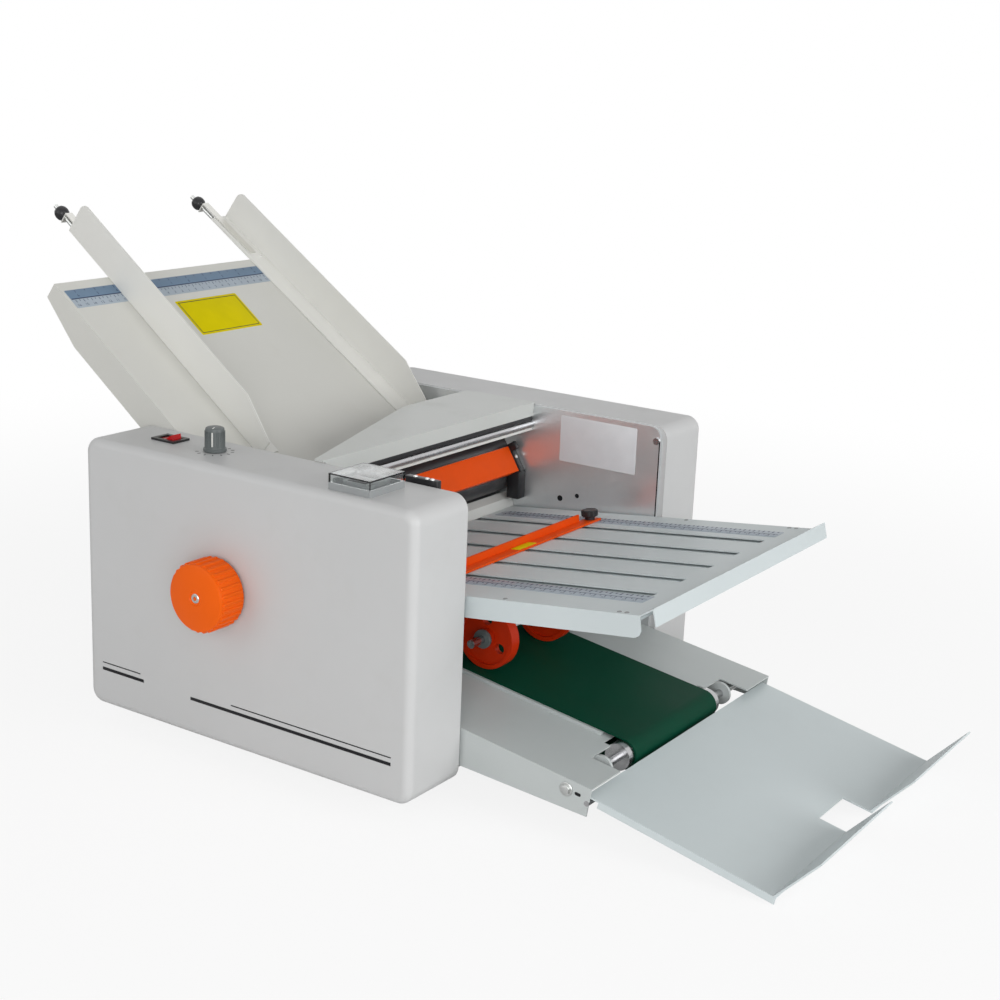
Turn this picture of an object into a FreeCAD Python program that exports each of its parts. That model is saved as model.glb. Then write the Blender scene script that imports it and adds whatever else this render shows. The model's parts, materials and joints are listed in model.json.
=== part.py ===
import FreeCAD, Part
import math
import os
import re

from FreeCAD import Placement, Rotation, Vector

# A desktop paper folding machine: two housings joined by a frame, a steep feed tray with side guides,
# a stack of fold rollers, two slotted fold plates, a delivery belt and a delivery tray.
# +X is the way the paper travels, +Z is up, and the hand knob is on the -Y side, called near.
# The origin is on the table, under the middle of the frame. All sizes are millimetres and degrees.

doc = FreeCAD.newDocument("folding_machine")

SIZES = (
    # Housings and frame
    ("housing_length", 380), ("housing_width", 73), ("housing_height", 259),
    ("housing_corner", 14), ("housing_edge", 8), ("housing_wall", 1.5), ("housing_flange", 12),
    ("frame_gap", 344), ("side_plate_wall", 3), ("side_plate_inset", 6), ("sheet_wall", 1.5),
    ("foot_height", 20), ("foot_radius", 15), ("foot_inset", 70), ("tie_radius", 5), ("pan_flange", 6),
    ("seat_gap", 0.3), ("shaft_gap", 0.05),
    # Feed tray
    ("feed_back", 50.86), ("feed_rise", 55.03), ("tray_slope", 36.5), ("tray_length", 300),
    ("tray_side_depth", 32), ("tray_end_depth", 17.5), ("tray_side_taper", 56),
    ("tray_side_length", 268), ("tray_notch_depth", 16),
    # Side guides, their bars and knobs
    ("guide_length", 322), ("guide_overhang", 69), ("guide_height", 37.5), ("guide_flange", 26),
    ("guide_wall", 1.2), ("guide_low_height", 20), ("guide_low_taper", 48), ("guide_corner", 8),
    ("near_guide_place", -98.5), ("far_guide_place", 146.5), ("far_guide_skew", 4.4),
    ("guide_slot_width", 4), ("guide_slot_length", 60), ("guide_slot_inset", 11),
    ("bar_width", 9), ("bar_length", 82), ("bar_overhang", 22), ("bar_tab_height", 12),
    ("bar_knob_radius", 7.5), ("bar_screw_radius", 2.4),
    # Fold rollers and their gears
    ("main_roller_place", 168), ("main_roller_height", 167.5), ("roller_pitch", 34.5),
    ("roller_gap", 0.3), ("roller_end_gap", 4), ("shaft_radius", 6), ("upper_roller_turn", 62),
    ("lower_roller_turn", -60), ("exit_roller_turn", -105), ("gear_teeth", 23), ("gear_width", 8),
    ("gear_offset", 6), ("gear_backlash", 0.35), ("bearing_radius", 10), ("bearing_flange", 12),
    # Feed roller, separator, motor and belts
    ("feed_roller_radius", 22), ("feed_roller_width", 70), ("feed_inset", 5),
    ("separator_length", 40), ("separator_lead", 14), ("separator_width", 40),
    ("separator_height", 24), ("motor_place", 50), ("motor_height", 150), ("motor_radius", 30),
    ("motor_length", 95), ("motor_shaft_radius", 4), ("motor_pulley_radius", 10),
    ("main_pulley_radius", 16), ("belt_pulley_radius", 14), ("track_width", 7), ("belt_wall", 1.6),
    # Top cover, its rod, the guide strip, the roller guard and the lower guide
    ("cover_ridge", 223), ("cover_depth", 86), ("cover_lip", 14), ("cover_sweep", 230),
    ("cover_near_depth", 10), ("cover_lift", 2), ("rod_radius", 3.5), ("rod_drop", 23),
    ("strip_depth", 34), ("strip_wall", 2.6), ("strip_drop", 28.1),
    ("guard_place", 200), ("guard_share", 0.464), ("guard_face", 28), ("guard_tilt", 58),
    ("guard_half_length", 158), ("guard_flange", 10), ("lower_guide_place", 192),
    ("lower_guide_height", 180), ("lower_guide_depth", 8.5), ("lower_guide_fall", 4.5),
    ("lower_guide_toe", 2.7), ("lower_guide_drop", 9.8), ("hinge_rod_inset", 5),
    # Fold plates
    ("plate_slope", 7.1), ("plate_end_place", 544.8), ("plate_end_height", 208.8),
    ("plate_length", 357.5), ("plate_half_width", 165), ("plate_wall", 1.2), ("paper_gap", 1.6),
    ("plate_skirt", 19), ("plate_lip_out", 13), ("plate_lip_rise", 7),
    ("plate_lip_fall", 15), ("plate_lip_lean", 1.7),
    ("slot_count", 5), ("slot_pitch", 51), ("slot_offset", -1.5), ("slot_width", 13),
    ("under_slot_width", 10), ("slot_end_inset", 21),
    ("slot_mouth_inset", 9), ("stop_place", 229), ("stop_width", 14), ("stop_height", 9),
    ("stop_half_length", 134), ("mouth_setback", 14), ("rest_rod_place", 290), ("mouth_rod_place", 208),
    ("rest_rod_radius", 4), ("rear_rest_place", 100), ("rear_rest_inset", 25),
    ("stop_finger", 8), ("stop_knob_radius", 8.5), ("rear_plate_slope", 30), ("rear_plate_length", 185),
    ("rear_stop_place", 110), ("rear_mouth_gap", 20),
    # Conveyor: frame, belt, rollers and press wheels
    ("drive_roller_place", 232), ("drive_roller_height", 80.1), ("table_slope", 8.13),
    ("table_length", 262), ("skirt_end_depth", 26), ("skirt_deep_depth", 44), ("bed_half_width", 79),
    ("belt_half_width", 76), ("belt_roller_radius", 12.5), ("belt_roller_half", 85),
    ("belt_roller_inset", 22.9), ("belt_roller_drop", 9.7), ("drive_roller_gap", 19.5),
    ("notch_depth", 30), ("notch_half_width", 121), ("bolt_radius", 4),
    ("wheel_radius", 30), ("wheel_width", 12), ("wheel_place", 330), ("near_wheel_place", -58.5),
    ("far_wheel_place", 40), ("wheel_shaft_radius", 4), ("carrier_place", 300),
    ("carrier_height", 148), ("carrier_arm", 4), ("wheel_shaft_reach", 29),
    # Delivery tray
    ("delivery_drop", 7.2), ("delivery_inset", 5.5), ("delivery_slope", 11.4),
    ("delivery_length", 179.2), ("delivery_half_width", 166.5), ("delivery_flange", 6.7),
    ("delivery_lip", 55), ("delivery_lip_slope", 47.2), ("notch_width", 52), ("notch_reach", 28.6),
    ("notch_place", 3), ("hinge_inset", 4), ("hinge_under", 6.7), ("hinge_radius", 2.5),
    ("hinge_wall", 2), ("hinge_lug_place", 120), ("hinge_lug_width", 20),
    # Controls on the near housing
    ("knob_radius", 30), ("knob_depth", 30), ("knob_skirt", 32), ("knob_flutes", 24),
    ("switch_place", 66), ("switch_length", 28), ("switch_width", 21), ("switch_center", 201),
    ("pivot_radius", 1.2), ("pivot_depth", 1),
    ("speed_place", 125), ("speed_center", 205), ("speed_radius", 9), ("speed_height", 22),
    ("counter_place", 304), ("counter_center", 212.5), ("counter_length", 44),
    ("counter_width", 47), ("counter_base_height", 6), ("counter_lid_height", 8),
    ("lid_hinge_set", 1.9), ("lid_pin_radius", 1), ("lid_knuckle_radius", 1.6), ("lid_knuckle_half", 10),
    ("lid_ear", 4),
    ("inlet_height", 70), ("inlet_width", 48), ("inlet_tall", 28),
    ("screw_radius", 3.5), ("screw_head", 2.2),
)

PLACES = (
    ("rear_x", "-housing_length / 2"),
    ("gap_half", "frame_gap / 2"),
    ("inner_half", "gap_half - side_plate_wall"),
    ("fit_half", "inner_half - seat_gap"),
    ("housing_top", "foot_height + housing_height"),
    ("outer_half", "gap_half + housing_width"),
    ("roller_radius", "(roller_pitch - roller_gap) / 2"),
    ("main_x", "rear_x + main_roller_place"),
    ("main_z", "main_roller_height"),
    ("upper_x", "main_x + roller_pitch * cos(upper_roller_turn)"),
    ("upper_z", "main_z + roller_pitch * sin(upper_roller_turn)"),
    ("lower_x", "main_x + roller_pitch * cos(lower_roller_turn)"),
    ("lower_z", "main_z + roller_pitch * sin(lower_roller_turn)"),
    ("exit_x", "lower_x + roller_pitch * cos(exit_roller_turn)"),
    ("exit_z", "lower_z + roller_pitch * sin(exit_roller_turn)"),
    ("feed_touch_x", "main_x - feed_back"),
    ("feed_touch_z", "main_z + feed_rise"),
    ("tray_x", "feed_touch_x - (tray_length - feed_inset) * cos(tray_slope)"),
    ("tray_top", "feed_touch_z + (tray_length - feed_inset) * sin(tray_slope)"),
    ("feed_x", "feed_touch_x - feed_roller_radius * sin(tray_slope)"),
    ("feed_z", "feed_touch_z - feed_roller_radius * cos(tray_slope)"),
    ("separator_rod_x", "feed_touch_x + 6 * cos(tray_slope) + 14 * sin(tray_slope)"),
    ("separator_rod_z", "feed_touch_z - 6 * sin(tray_slope) + 14 * cos(tray_slope)"),
    ("motor_x", "rear_x + motor_place"),
    ("motor_z", "motor_height"),
    ("drive_roller_x", "rear_x + drive_roller_place"),
    ("drive_roller_z", "drive_roller_height"),
    ("belt_span", "table_length - belt_roller_inset + drive_roller_gap"),
    ("end_roller_x", "drive_roller_x + belt_span * cos(table_slope)"),
    ("end_roller_z", "drive_roller_z - belt_span * sin(table_slope)"),
    ("table_x", "end_roller_x + belt_roller_inset * cos(table_slope) + belt_roller_drop * sin(table_slope)"),
    ("table_z", "end_roller_z - belt_roller_inset * sin(table_slope) + belt_roller_drop * cos(table_slope)"),
    ("belt_inner_radius", "belt_roller_radius + seat_gap"),
    ("belt_top", "belt_inner_radius + belt_wall - belt_roller_drop"),
    ("wheel_x", "rear_x + wheel_place"),
    ("wheel_z", "table_z + (table_x - wheel_x) * tan(table_slope)"
     " + (belt_top + seat_gap + wheel_radius) / cos(table_slope)"),
    ("carrier_x", "rear_x + carrier_place"),
    ("carrier_z", "carrier_height"),
    ("hinge_x", "table_x - hinge_inset"),
    ("delivery_x", "table_x - delivery_inset"),
    ("delivery_z", "table_z - delivery_drop"),
    ("hinge_z", "delivery_z - hinge_under"),
    ("plate_end_x", "rear_x + plate_end_place"),
    ("plate_thickness", "2 * plate_wall + paper_gap"),
    ("nip_x", "(main_x + lower_x) / 2"),
    ("nip_z", "(main_z + lower_z) / 2"),
    ("rear_mouth_x", "nip_x - rear_mouth_gap * cos(rear_plate_slope)"),
    ("rear_mouth_z", "nip_z - rear_mouth_gap * sin(rear_plate_slope)"),
    ("gear_y", "gap_half + gear_offset"),
    ("track_y", "gear_y + gear_width + 3"),
    ("cover_x", "rear_x + cover_ridge"),
    ("cover_z", "housing_top + cover_lift"),
    ("rod_x", "cover_x - rod_radius + 1"),
    ("rod_z", "cover_z - rod_drop"),
    ("strip_low", "cover_z - strip_drop - strip_wall / 2"),
    ("guard_top", "upper_z + roller_radius + guard_share * (strip_low - upper_z - roller_radius)"),
    ("cover_hinge_x", "cover_x - cover_depth + hinge_rod_inset"),
    ("cover_hinge_z", "cover_z - sheet_wall - hinge_radius - hinge_wall + 0.5"),
    ("rest_rod_x", "rear_x + rest_rod_place"),
    ("rest_drop", "(plate_thickness + seat_gap + rest_rod_radius) / cos(plate_slope)"),
    ("rest_rod_z", "plate_end_height - (plate_end_x - rest_rod_x) * tan(plate_slope) - rest_drop"),
    ("mouth_rod_x", "rear_x + mouth_rod_place"),
    ("mouth_rod_z", "plate_end_height - (plate_end_x - mouth_rod_x) * tan(plate_slope) - rest_drop"),
    ("rear_rest_drop", "plate_thickness / 2 + seat_gap + rest_rod_radius"),
    ("rear_rest_x", "rear_mouth_x - rear_rest_place * cos(rear_plate_slope)"
     " + rear_rest_drop * sin(rear_plate_slope)"),
    ("rear_rest_z", "rear_mouth_z - rear_rest_place * sin(rear_plate_slope)"
     " - rear_rest_drop * cos(rear_plate_slope)"),
    ("rear_inner_x", "rear_rest_x + (rear_rest_place - rear_rest_inset) * cos(rear_plate_slope)"),
    ("rear_inner_z", "rear_rest_z + (rear_rest_place - rear_rest_inset) * sin(rear_plate_slope)"),
)


def make_sheet(name, rows):
    """One row per value: its name beside the cell that holds it."""
    sheet = doc.addObject("Spreadsheet::Sheet", name)
    for row, (alias, content) in enumerate(rows, start=1):
        sheet.set(f"A{row}", alias)
        sheet.set(f"B{row}", content)
        sheet.setAlias(f"B{row}", alias)
    return sheet


OWNER = {alias: "dims." for alias, _ in SIZES}
OWNER.update({alias: "places." for alias, _ in PLACES})
WORD = re.compile(r"[a-z][a-z_]*")


def bound(text):
    """A formula with every size and place named by the sheet that holds it."""
    return WORD.sub(lambda word: OWNER.get(word.group(), "") + word.group(), str(text))


dims = make_sheet("dims", [(alias, str(number)) for alias, number in SIZES])
doc.recompute()
places = make_sheet("places", [(alias, "=" + bound(text)) for alias, text in PLACES])
doc.recompute()


def value(alias):
    """The number that a named cell holds, for shapes that Part's own functions make."""
    sheet = dims if OWNER[alias] == "dims." else places
    return float(getattr(sheet, alias))


ALONG = {
    "x": Rotation(Vector(0, 1, 0), 90),
    "y": Rotation(Vector(1, 0, 0), -90),
    "z": Rotation(),
}


def put(piece, at, turn=None):
    """Places a piece by three formulas, turned about an axis by an angle formula."""
    if turn is not None:
        axis, angle = turn
        piece.Placement = Placement(Vector(), Rotation(axis, 1))
        piece.setExpression("Placement.Rotation.Angle", bound(angle))
    for letter, text in zip("xyz", at):
        piece.setExpression(f"Placement.Base.{letter}", bound(text))
    return piece


def box(name, size, at):
    piece = doc.addObject("Part::Box", name)
    for side, text in zip(("Length", "Width", "Height"), size):
        piece.setExpression(side, bound(text))
    return put(piece, at)


def cylinder(name, radius, length, at, along="y"):
    piece = doc.addObject("Part::Cylinder", name)
    piece.setExpression("Radius", bound(radius))
    piece.setExpression("Height", bound(length))
    piece.Placement = Placement(Vector(), ALONG[along])
    return put(piece, at)


def cone(name, radius, top_radius, length, at, along="z"):
    piece = doc.addObject("Part::Cone", name)
    piece.setExpression("Radius1", bound(radius))
    piece.setExpression("Radius2", bound(top_radius))
    piece.setExpression("Height", bound(length))
    piece.Placement = Placement(Vector(), ALONG[along])
    return put(piece, at)


def ball(name, radius, at):
    piece = doc.addObject("Part::Sphere", name)
    piece.setExpression("Radius", bound(radius))
    return put(piece, at)


def fuse(name, pieces):
    joined = doc.addObject("Part::MultiFuse", name)
    joined.Shapes = pieces
    return joined


def cut(name, base, tools):
    left = doc.addObject("Part::Cut", name)
    left.Base = base
    left.Tool = tools[0] if len(tools) == 1 else fuse(name + "_tools", tools)
    return left


def group(name, pieces):
    """Identical pieces that share one node, as separate solids."""
    together = doc.addObject("Part::Compound", name)
    together.Links = pieces
    return together


PLANES = {"xy": "XY_Plane", "xz": "XZ_Plane", "yz": "YZ_Plane"}


def outline(body, plane, corners, offset="0"):
    """A closed sketch with straight sides, each corner held by two formulas."""
    sketch = body.newObject("Sketcher::SketchObject", body.Name + "_outline")
    sketch.AttachmentSupport = [
        (origin, "") for origin in body.Origin.OriginFeatures if origin.Role == PLANES[plane]
    ]
    sketch.MapMode = "FlatFace"
    sketch.setExpression("AttachmentOffset.Base.z", bound(offset))
    start = rough_polygon(len(corners))
    for index, point in enumerate(start):
        sketch.addGeometry(Part.LineSegment(point, start[(index + 1) % len(start)]), False)
    import Sketcher
    for index in range(len(corners)):
        following = (index + 1) % len(corners)
        sketch.addConstraint(Sketcher.Constraint("Coincident", index, 2, following, 1))
    for index, corner in enumerate(corners):
        for kind, text, rough in zip(("DistanceX", "DistanceY"), corner, start[index][:2]):
            number = sketch.addConstraint(Sketcher.Constraint(kind, -1, 1, index, 1, rough))
            sketch.setExpression(f"Constraints[{number}]", bound(text))
    return sketch


def rough_polygon(count):
    """Starting corners on a circle, which the constraints then move."""
    turns = [2 * math.pi * (index + 0.25) / count for index in range(count)]
    return [Vector(100 * math.cos(turn), 100 * math.sin(turn), 0) for turn in turns]


def pad(name, plane, corners, thickness, offset="0", midplane=False, backwards=False):
    """A body with one flat plate: an outline given a thickness."""
    body = doc.addObject("PartDesign::Body", name)
    sketch = outline(body, plane, corners, offset)
    plate = body.newObject("PartDesign::Pad", name + "_plate")
    plate.Profile = sketch
    plate.setExpression("Length", bound(thickness))
    plate.Midplane = midplane
    plate.Reversed = backwards
    body.Tip = plate
    return body


def round_edges(body, name, radius, wanted):
    """Rounds the edges of the body's solid that the test picks."""
    doc.recompute()
    base = body.Tip
    names = [f"Edge{n}" for n, edge in enumerate(base.Shape.Edges, start=1) if wanted(edge)]
    rounding = body.newObject("PartDesign::Fillet", name)
    rounding.Base = (base, names)
    rounding.setExpression("Radius", bound(radius))
    body.Tip = rounding
    return body


def runs_along(edge, letter):
    """True for a straight edge parallel to an axis."""
    if not isinstance(edge.Curve, (Part.Line, Part.LineSegment)):
        return False
    direction = edge.Vertexes[-1].Point - edge.Vertexes[0].Point
    direction.normalize()
    return abs(getattr(direction, letter)) > 0.999


def lies_at(edge, letter, level):
    """True for an edge that lies in the plane where one coordinate has one value."""
    low = getattr(edge.BoundBox, letter.upper() + "Min")
    high = getattr(edge.BoundBox, letter.upper() + "Max")
    return abs(low - level) < 0.01 and abs(high - level) < 0.01


NODES = []


def node(piece, label):
    """Names a finished sub-part after its file."""
    piece.Label = label
    NODES.append(piece)
    return piece


TILT = Vector(0, 1, 0)


# ---------------------------------------------------------------- housings

def rounded_shell(name, grow, low_y, width, outer_side):
    """A block with rounded corners and a rounded rim on its outer side."""
    half = f"housing_length / 2 - {grow}"
    low = f"foot_height + {grow}"
    high = f"housing_top - {grow}"
    corners = ((f"-({half})", low), (half, low), (half, high), (f"-({half})", high))
    # The XZ plane faces -Y, so a plate there grows towards -Y.
    body = pad(name, "xz", corners, width, offset=f"-({low_y}) - ({width})")
    round_edges(body, name + "_corners", f"housing_corner - {grow}",
                lambda edge: runs_along(edge, "y"))
    doc.recompute()
    limits = body.Tip.Shape.BoundBox
    level = limits.YMin if outer_side < 0 else limits.YMax
    round_edges(body, name + "_rim", f"housing_edge - {grow}",
                lambda edge: lies_at(edge, "y", level))
    return body


def make_housing(name, side, holes):
    """A pressed shell, open towards the frame, with a return flange round the opening."""
    if side < 0:
        outer = rounded_shell(name + "_form", "0", "-outer_half", "housing_width", -1)
        cavity = rounded_shell(name + "_hollow", "housing_wall", "-outer_half + housing_wall",
                               "housing_width - 2 * housing_wall", -1)
        mouth_y = "-gap_half - 2 * housing_wall"
    else:
        outer = rounded_shell(name + "_form", "0", "gap_half", "housing_width", 1)
        cavity = rounded_shell(name + "_hollow", "housing_wall", "gap_half + housing_wall",
                               "housing_width - 2 * housing_wall", 1)
        mouth_y = "gap_half - housing_wall"
    mouth = box(name + "_mouth",
                ("housing_length - 2 * housing_flange", "3 * housing_wall",
                 "housing_height - 2 * housing_flange"),
                ("-housing_length / 2 + housing_flange", mouth_y, "foot_height + housing_flange"))
    return node(cut(name, outer, [cavity, mouth] + holes), name)


near_holes = [
    cylinder("knob_hole", "shaft_radius + 1", "housing_width",
             ("main_x", "-outer_half - 10", "main_z")),
    box("switch_hole", ("switch_length - 4", "switch_width - 4", "10"),
        ("rear_x + switch_place - switch_length / 2 + 2", "-switch_center - switch_width / 2 + 2",
         "housing_top - 5")),
    cylinder("speed_hole", "3.6", "10", ("rear_x + speed_place", "-speed_center", "housing_top - 5"),
             along="z"),
    box("inlet_hole", ("10", "inlet_width - 8", "inlet_tall - 6"),
        ("rear_x - 5", "-gap_half - housing_width / 2 - inlet_width / 2 + 4",
         "inlet_height - inlet_tall / 2 + 3")),
]
make_housing("near_housing", -1, near_holes)
make_housing("far_housing", 1, [])


# ---------------------------------------------------------------- side plates and what joins them

AXLES = {
    "main": ("main_x", "main_z"),
    "upper": ("upper_x", "upper_z"),
    "lower": ("lower_x", "lower_z"),
    "exit": ("exit_x", "exit_z"),
    "feed": ("feed_x", "feed_z"),
    "drive_roller": ("drive_roller_x", "drive_roller_z"),
}


def make_side_plate(name, side):
    low_y = "inner_half" if side > 0 else "-gap_half"
    half, low, high = "(housing_length / 2 - side_plate_inset)", "foot_height + 5", "housing_top - 1"
    plate = pad(name + "_blank", "xz", (("-" + half, low), (half, low), (half, high), ("-" + half, high)),
                "side_plate_wall", offset=f"-({low_y}) - side_plate_wall")
    round_edges(plate, name + "_corners", "housing_corner - 2",
                lambda edge: runs_along(edge, "y")
                and abs(edge.BoundBox.ZMin - value("housing_top") + 1) < 0.01)
    holes = [
        cylinder(f"{name}_{axle}_hole", "bearing_radius + shaft_gap", "side_plate_wall + 2",
                 (x, low_y + " - 1", z))
        for axle, (x, z) in AXLES.items()
    ]
    if side > 0:
        holes.append(cylinder(name + "_motor_hole", "motor_shaft_radius + 1",
                              "side_plate_wall + 2", ("motor_x", low_y + " - 1", "motor_z")))
    return node(cut(name, plate, holes), name)


make_side_plate("near_side_plate", -1)
make_side_plate("far_side_plate", 1)


def make_bearings():
    """Flanged bushes, one at each end of every shaft that the side plates carry."""
    bushes = []
    for axle, (x, z) in AXLES.items():
        for word, sleeve_y, flange_y in (
            ("near", "-gap_half", "-gap_half - 3"),
            ("far", "inner_half", "gap_half"),
        ):
            title = f"{axle}_{word}_bush"
            sleeve = cylinder(title + "_sleeve", "bearing_radius", "side_plate_wall",
                              (x, sleeve_y, z))
            flange = cylinder(title + "_flange", "bearing_flange", "3", (x, flange_y, z))
            bore = cylinder(title + "_bore", "shaft_radius + shaft_gap", "side_plate_wall + 8",
                            (x, flange_y + (" - 1" if word == "near" else " - side_plate_wall - 4"), z))
            bushes.append(cut(title, fuse(title + "_blank", [sleeve, flange]), [bore]))
    return node(group("roller_bearings", bushes), "roller_bearings")


make_bearings()


def make_base_pan():
    length = "housing_length - 2 * side_plate_inset - 8"
    floor = box("pan_floor", (length, "2 * fit_half", "sheet_wall"),
                ("rear_x + side_plate_inset + 4", "-fit_half", "foot_height + 6"))
    flanges = [
        box("pan_near_flange", (length, "sheet_wall", "pan_flange"),
            ("rear_x + side_plate_inset + 4", "-fit_half", "foot_height + 6")),
        box("pan_far_flange", (length, "sheet_wall", "pan_flange"),
            ("rear_x + side_plate_inset + 4", "fit_half - sheet_wall", "foot_height + 6")),
    ]
    return node(fuse("base_pan", [floor] + flanges), "base_pan")


make_base_pan()

TIE_RODS = (
    ("rear_rod", "tie_radius", "inner_half", "rear_x + 24", "foot_height + 190"),
    ("low_rod", "tie_radius", "inner_half", "rear_x + 60", "foot_height + 22"),
    ("chrome_rod", "rod_radius", "inner_half", "rod_x", "rod_z"),
    ("carrier_rod", "tie_radius", "inner_half", "carrier_x", "carrier_z"),
    ("separator_rod", "tie_radius", "inner_half", "separator_rod_x", "separator_rod_z"),
    ("rest_rod", "rest_rod_radius", "inner_half", "rest_rod_x", "rest_rod_z"),
    ("mouth_rod", "rest_rod_radius", "inner_half", "mouth_rod_x", "mouth_rod_z"),
    ("rear_rest_rod", "rest_rod_radius", "inner_half", "rear_rest_x", "rear_rest_z"),
    ("rear_inner_rod", "rest_rod_radius", "inner_half", "rear_inner_x", "rear_inner_z"),
    ("hinge_rod", "hinge_radius", "fit_half", "hinge_x", "hinge_z"),
)
# The cover's rod is a stub on the far plate, as the cover's near rear corner is swept away.
cover_rod = cylinder("cover_rod", "hinge_radius", "hinge_lug_width + 108",
                     ("cover_hinge_x", "inner_half - hinge_lug_width - 108", "cover_hinge_z"))
node(group("tie_rods", [cover_rod] + [
    cylinder(name, radius, f"2 * {half}", (x, f"-{half}", z)) for name, radius, half, x, z in TIE_RODS
]), "tie_rods")

# The feet stand under the pan, hidden behind the housings from the sides.
FOOT_PLACES = [
    (f"{sign_x}(housing_length / 2 - foot_inset)", f"{sign_y}(inner_half - foot_radius - 4)")
    for sign_x in ("-", "") for sign_y in ("-", "")
]
node(group("rubber_feet", [
    cone(f"foot_{n}", "foot_radius - 2", "foot_radius", "foot_height + 6", (x, y, "0"))
    for n, (x, y) in enumerate(FOOT_PLACES)
]), "rubber_feet")


# ---------------------------------------------------------------- feed tray and guides

def on_tray(piece):
    """Turns a piece made in the tray's own frame, with its origin at the middle of the top edge."""
    return put(piece, ("tray_x", "0", "tray_top"), (TILT, "tray_slope"))


def make_feed_tray():
    top = box("tray_top_sheet", ("tray_length", "2 * fit_half", "sheet_wall"),
              ("0", "-fit_half", "-sheet_wall"))
    end = box("tray_end_flange", ("sheet_wall", "2 * fit_half", "tray_end_depth"),
              ("0", "-fit_half", "-tray_end_depth"))
    profile = (("0", "0"), ("0", "-tray_end_depth"), ("tray_side_taper", "-tray_side_depth"),
               ("tray_side_length", "-tray_side_depth"), ("tray_side_length", "0"))
    near = pad("tray_near_wall", "xz", profile, "sheet_wall", offset="fit_half - sheet_wall")
    far = pad("tray_far_wall", "xz", profile, "sheet_wall", offset="-fit_half")
    notch = box("tray_roller_notch", ("tray_notch_depth + 1", "feed_roller_width + 4", "10"),
                ("tray_length - tray_notch_depth", "-feed_roller_width / 2 - 2", "-5"))
    sheet = cut("tray_form", fuse("tray_blank", [top, end, near, far]), [notch])
    return node(on_tray(sheet), "feed_tray")


make_feed_tray()


def make_guide(name, side):
    """A tall blade with a flange that lies on the tray, made about the foot of the blade."""
    start, stop = "-guide_overhang", "guide_length - guide_overhang"
    profile = ((start, "seat_gap"), (stop, "seat_gap"), (stop, "guide_low_height"),
               (f"{stop} - guide_low_taper", "guide_height"), (start, "guide_height"))
    inward = "" if side < 0 else "-"
    blade = pad(name + "_blade", "xz", profile, "guide_wall",
                offset="-guide_wall" if side < 0 else "0")
    round_edges(blade, name + "_corner", "guide_corner",
                lambda edge: runs_along(edge, "y") and abs(edge.BoundBox.XMin
                             + value("guide_overhang")) < 0.01
                and abs(edge.BoundBox.ZMin - value("guide_height")) < 0.01)
    flange_y = "0" if side < 0 else "-guide_flange"
    flange = box(name + "_flange", ("guide_length", "guide_flange", "guide_wall"),
                 (start, flange_y, "seat_gap"))
    slot_y = "guide_flange - guide_slot_inset" if side < 0 else "-guide_flange + guide_slot_inset"
    slot = box(name + "_slot", ("guide_slot_length + 1", "guide_slot_width", "3 * guide_wall"),
               (f"{start} - 1", f"{slot_y} - guide_slot_width / 2", "0"))
    hole = cylinder(name + "_hole", "1.6", "10",
                    (f"{start} + guide_slot_length + 6", f"{inward}guide_wall * 5", "-5"), along="z")
    return cut(name, fuse(name + "_blank", [blade, flange]), [slot, hole])


def make_bar(name, side):
    """A strip that slides on the guide's flange, with a peg in its slot and a bent-down end."""
    start = "-guide_overhang - bar_overhang"
    slot_y = "guide_flange - guide_slot_inset" if side < 0 else "-guide_flange + guide_slot_inset"
    level = "2 * seat_gap + guide_wall"
    strip = box(name + "_strip", ("bar_length", "bar_width", "guide_wall"),
                (start, f"{slot_y} - bar_width / 2", level))
    tab = box(name + "_tab", ("guide_wall", "bar_width", "bar_tab_height"),
              (start, f"{slot_y} - bar_width / 2", f"{level} + guide_wall - bar_tab_height"))
    peg = cylinder(name + "_peg", "guide_slot_width / 2 - seat_gap", "guide_wall + seat_gap",
                   (f"{start} + bar_length - 8", slot_y, "2 * seat_gap"), along="z")
    hole = cylinder(name + "_tab_hole", "bar_screw_radius + shaft_gap", "10",
                    (f"{start} - 5", slot_y, f"{level} + guide_wall + 5 - bar_tab_height"), along="x")
    return cut(name, fuse(name + "_blank", [strip, tab, peg]), [hole])


def make_bar_knob(name, side):
    """A ball knob on a screw that turns in the bar's end tab."""
    start = "-guide_overhang - bar_overhang"
    slot_y = "guide_flange - guide_slot_inset" if side < 0 else "-guide_flange + guide_slot_inset"
    level = "(2 * seat_gap + 2 * guide_wall + 5 - bar_tab_height)"
    knob = ball(name + "_ball", "bar_knob_radius",
                (f"{start} - bar_knob_radius + 0.6", slot_y, level))
    face = box(name + "_face", ("4", "30", "30"),
               (f"{start} - seat_gap", f"{slot_y} - 15", f"{level} - 15"))
    screw = cylinder(name + "_screw", "bar_screw_radius", "2 * bar_knob_radius + 22",
                     (f"{start} - 2 * bar_knob_radius - 4", slot_y, level), along="x")
    return fuse(name, [cut(name + "_grip", knob, [face]), screw])


def on_guide(piece, side, label):
    """Sets a guide's piece on the tray, at its guide's own place across it."""
    if side < 0:
        at = ("tray_x", "near_guide_place", "tray_top")
        return node(put(piece, at, (TILT, "tray_slope")), label)
    # The far guide stands a little askew, turned about the low end of its blade.
    carrier = doc.addObject("Part::Compound", label + "_askew")
    carrier.Links = [piece]
    low_end = "(guide_length - guide_overhang)"
    put(piece, (f"{low_end} * (1 - cos(far_guide_skew))", f"-{low_end} * sin(far_guide_skew)", "0"),
        (Vector(0, 0, 1), "far_guide_skew"))
    at = ("tray_x", "far_guide_place + (guide_length - guide_overhang) * sin(far_guide_skew) / 2",
          "tray_top")
    return node(put(carrier, at, (TILT, "tray_slope")), label)


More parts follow.
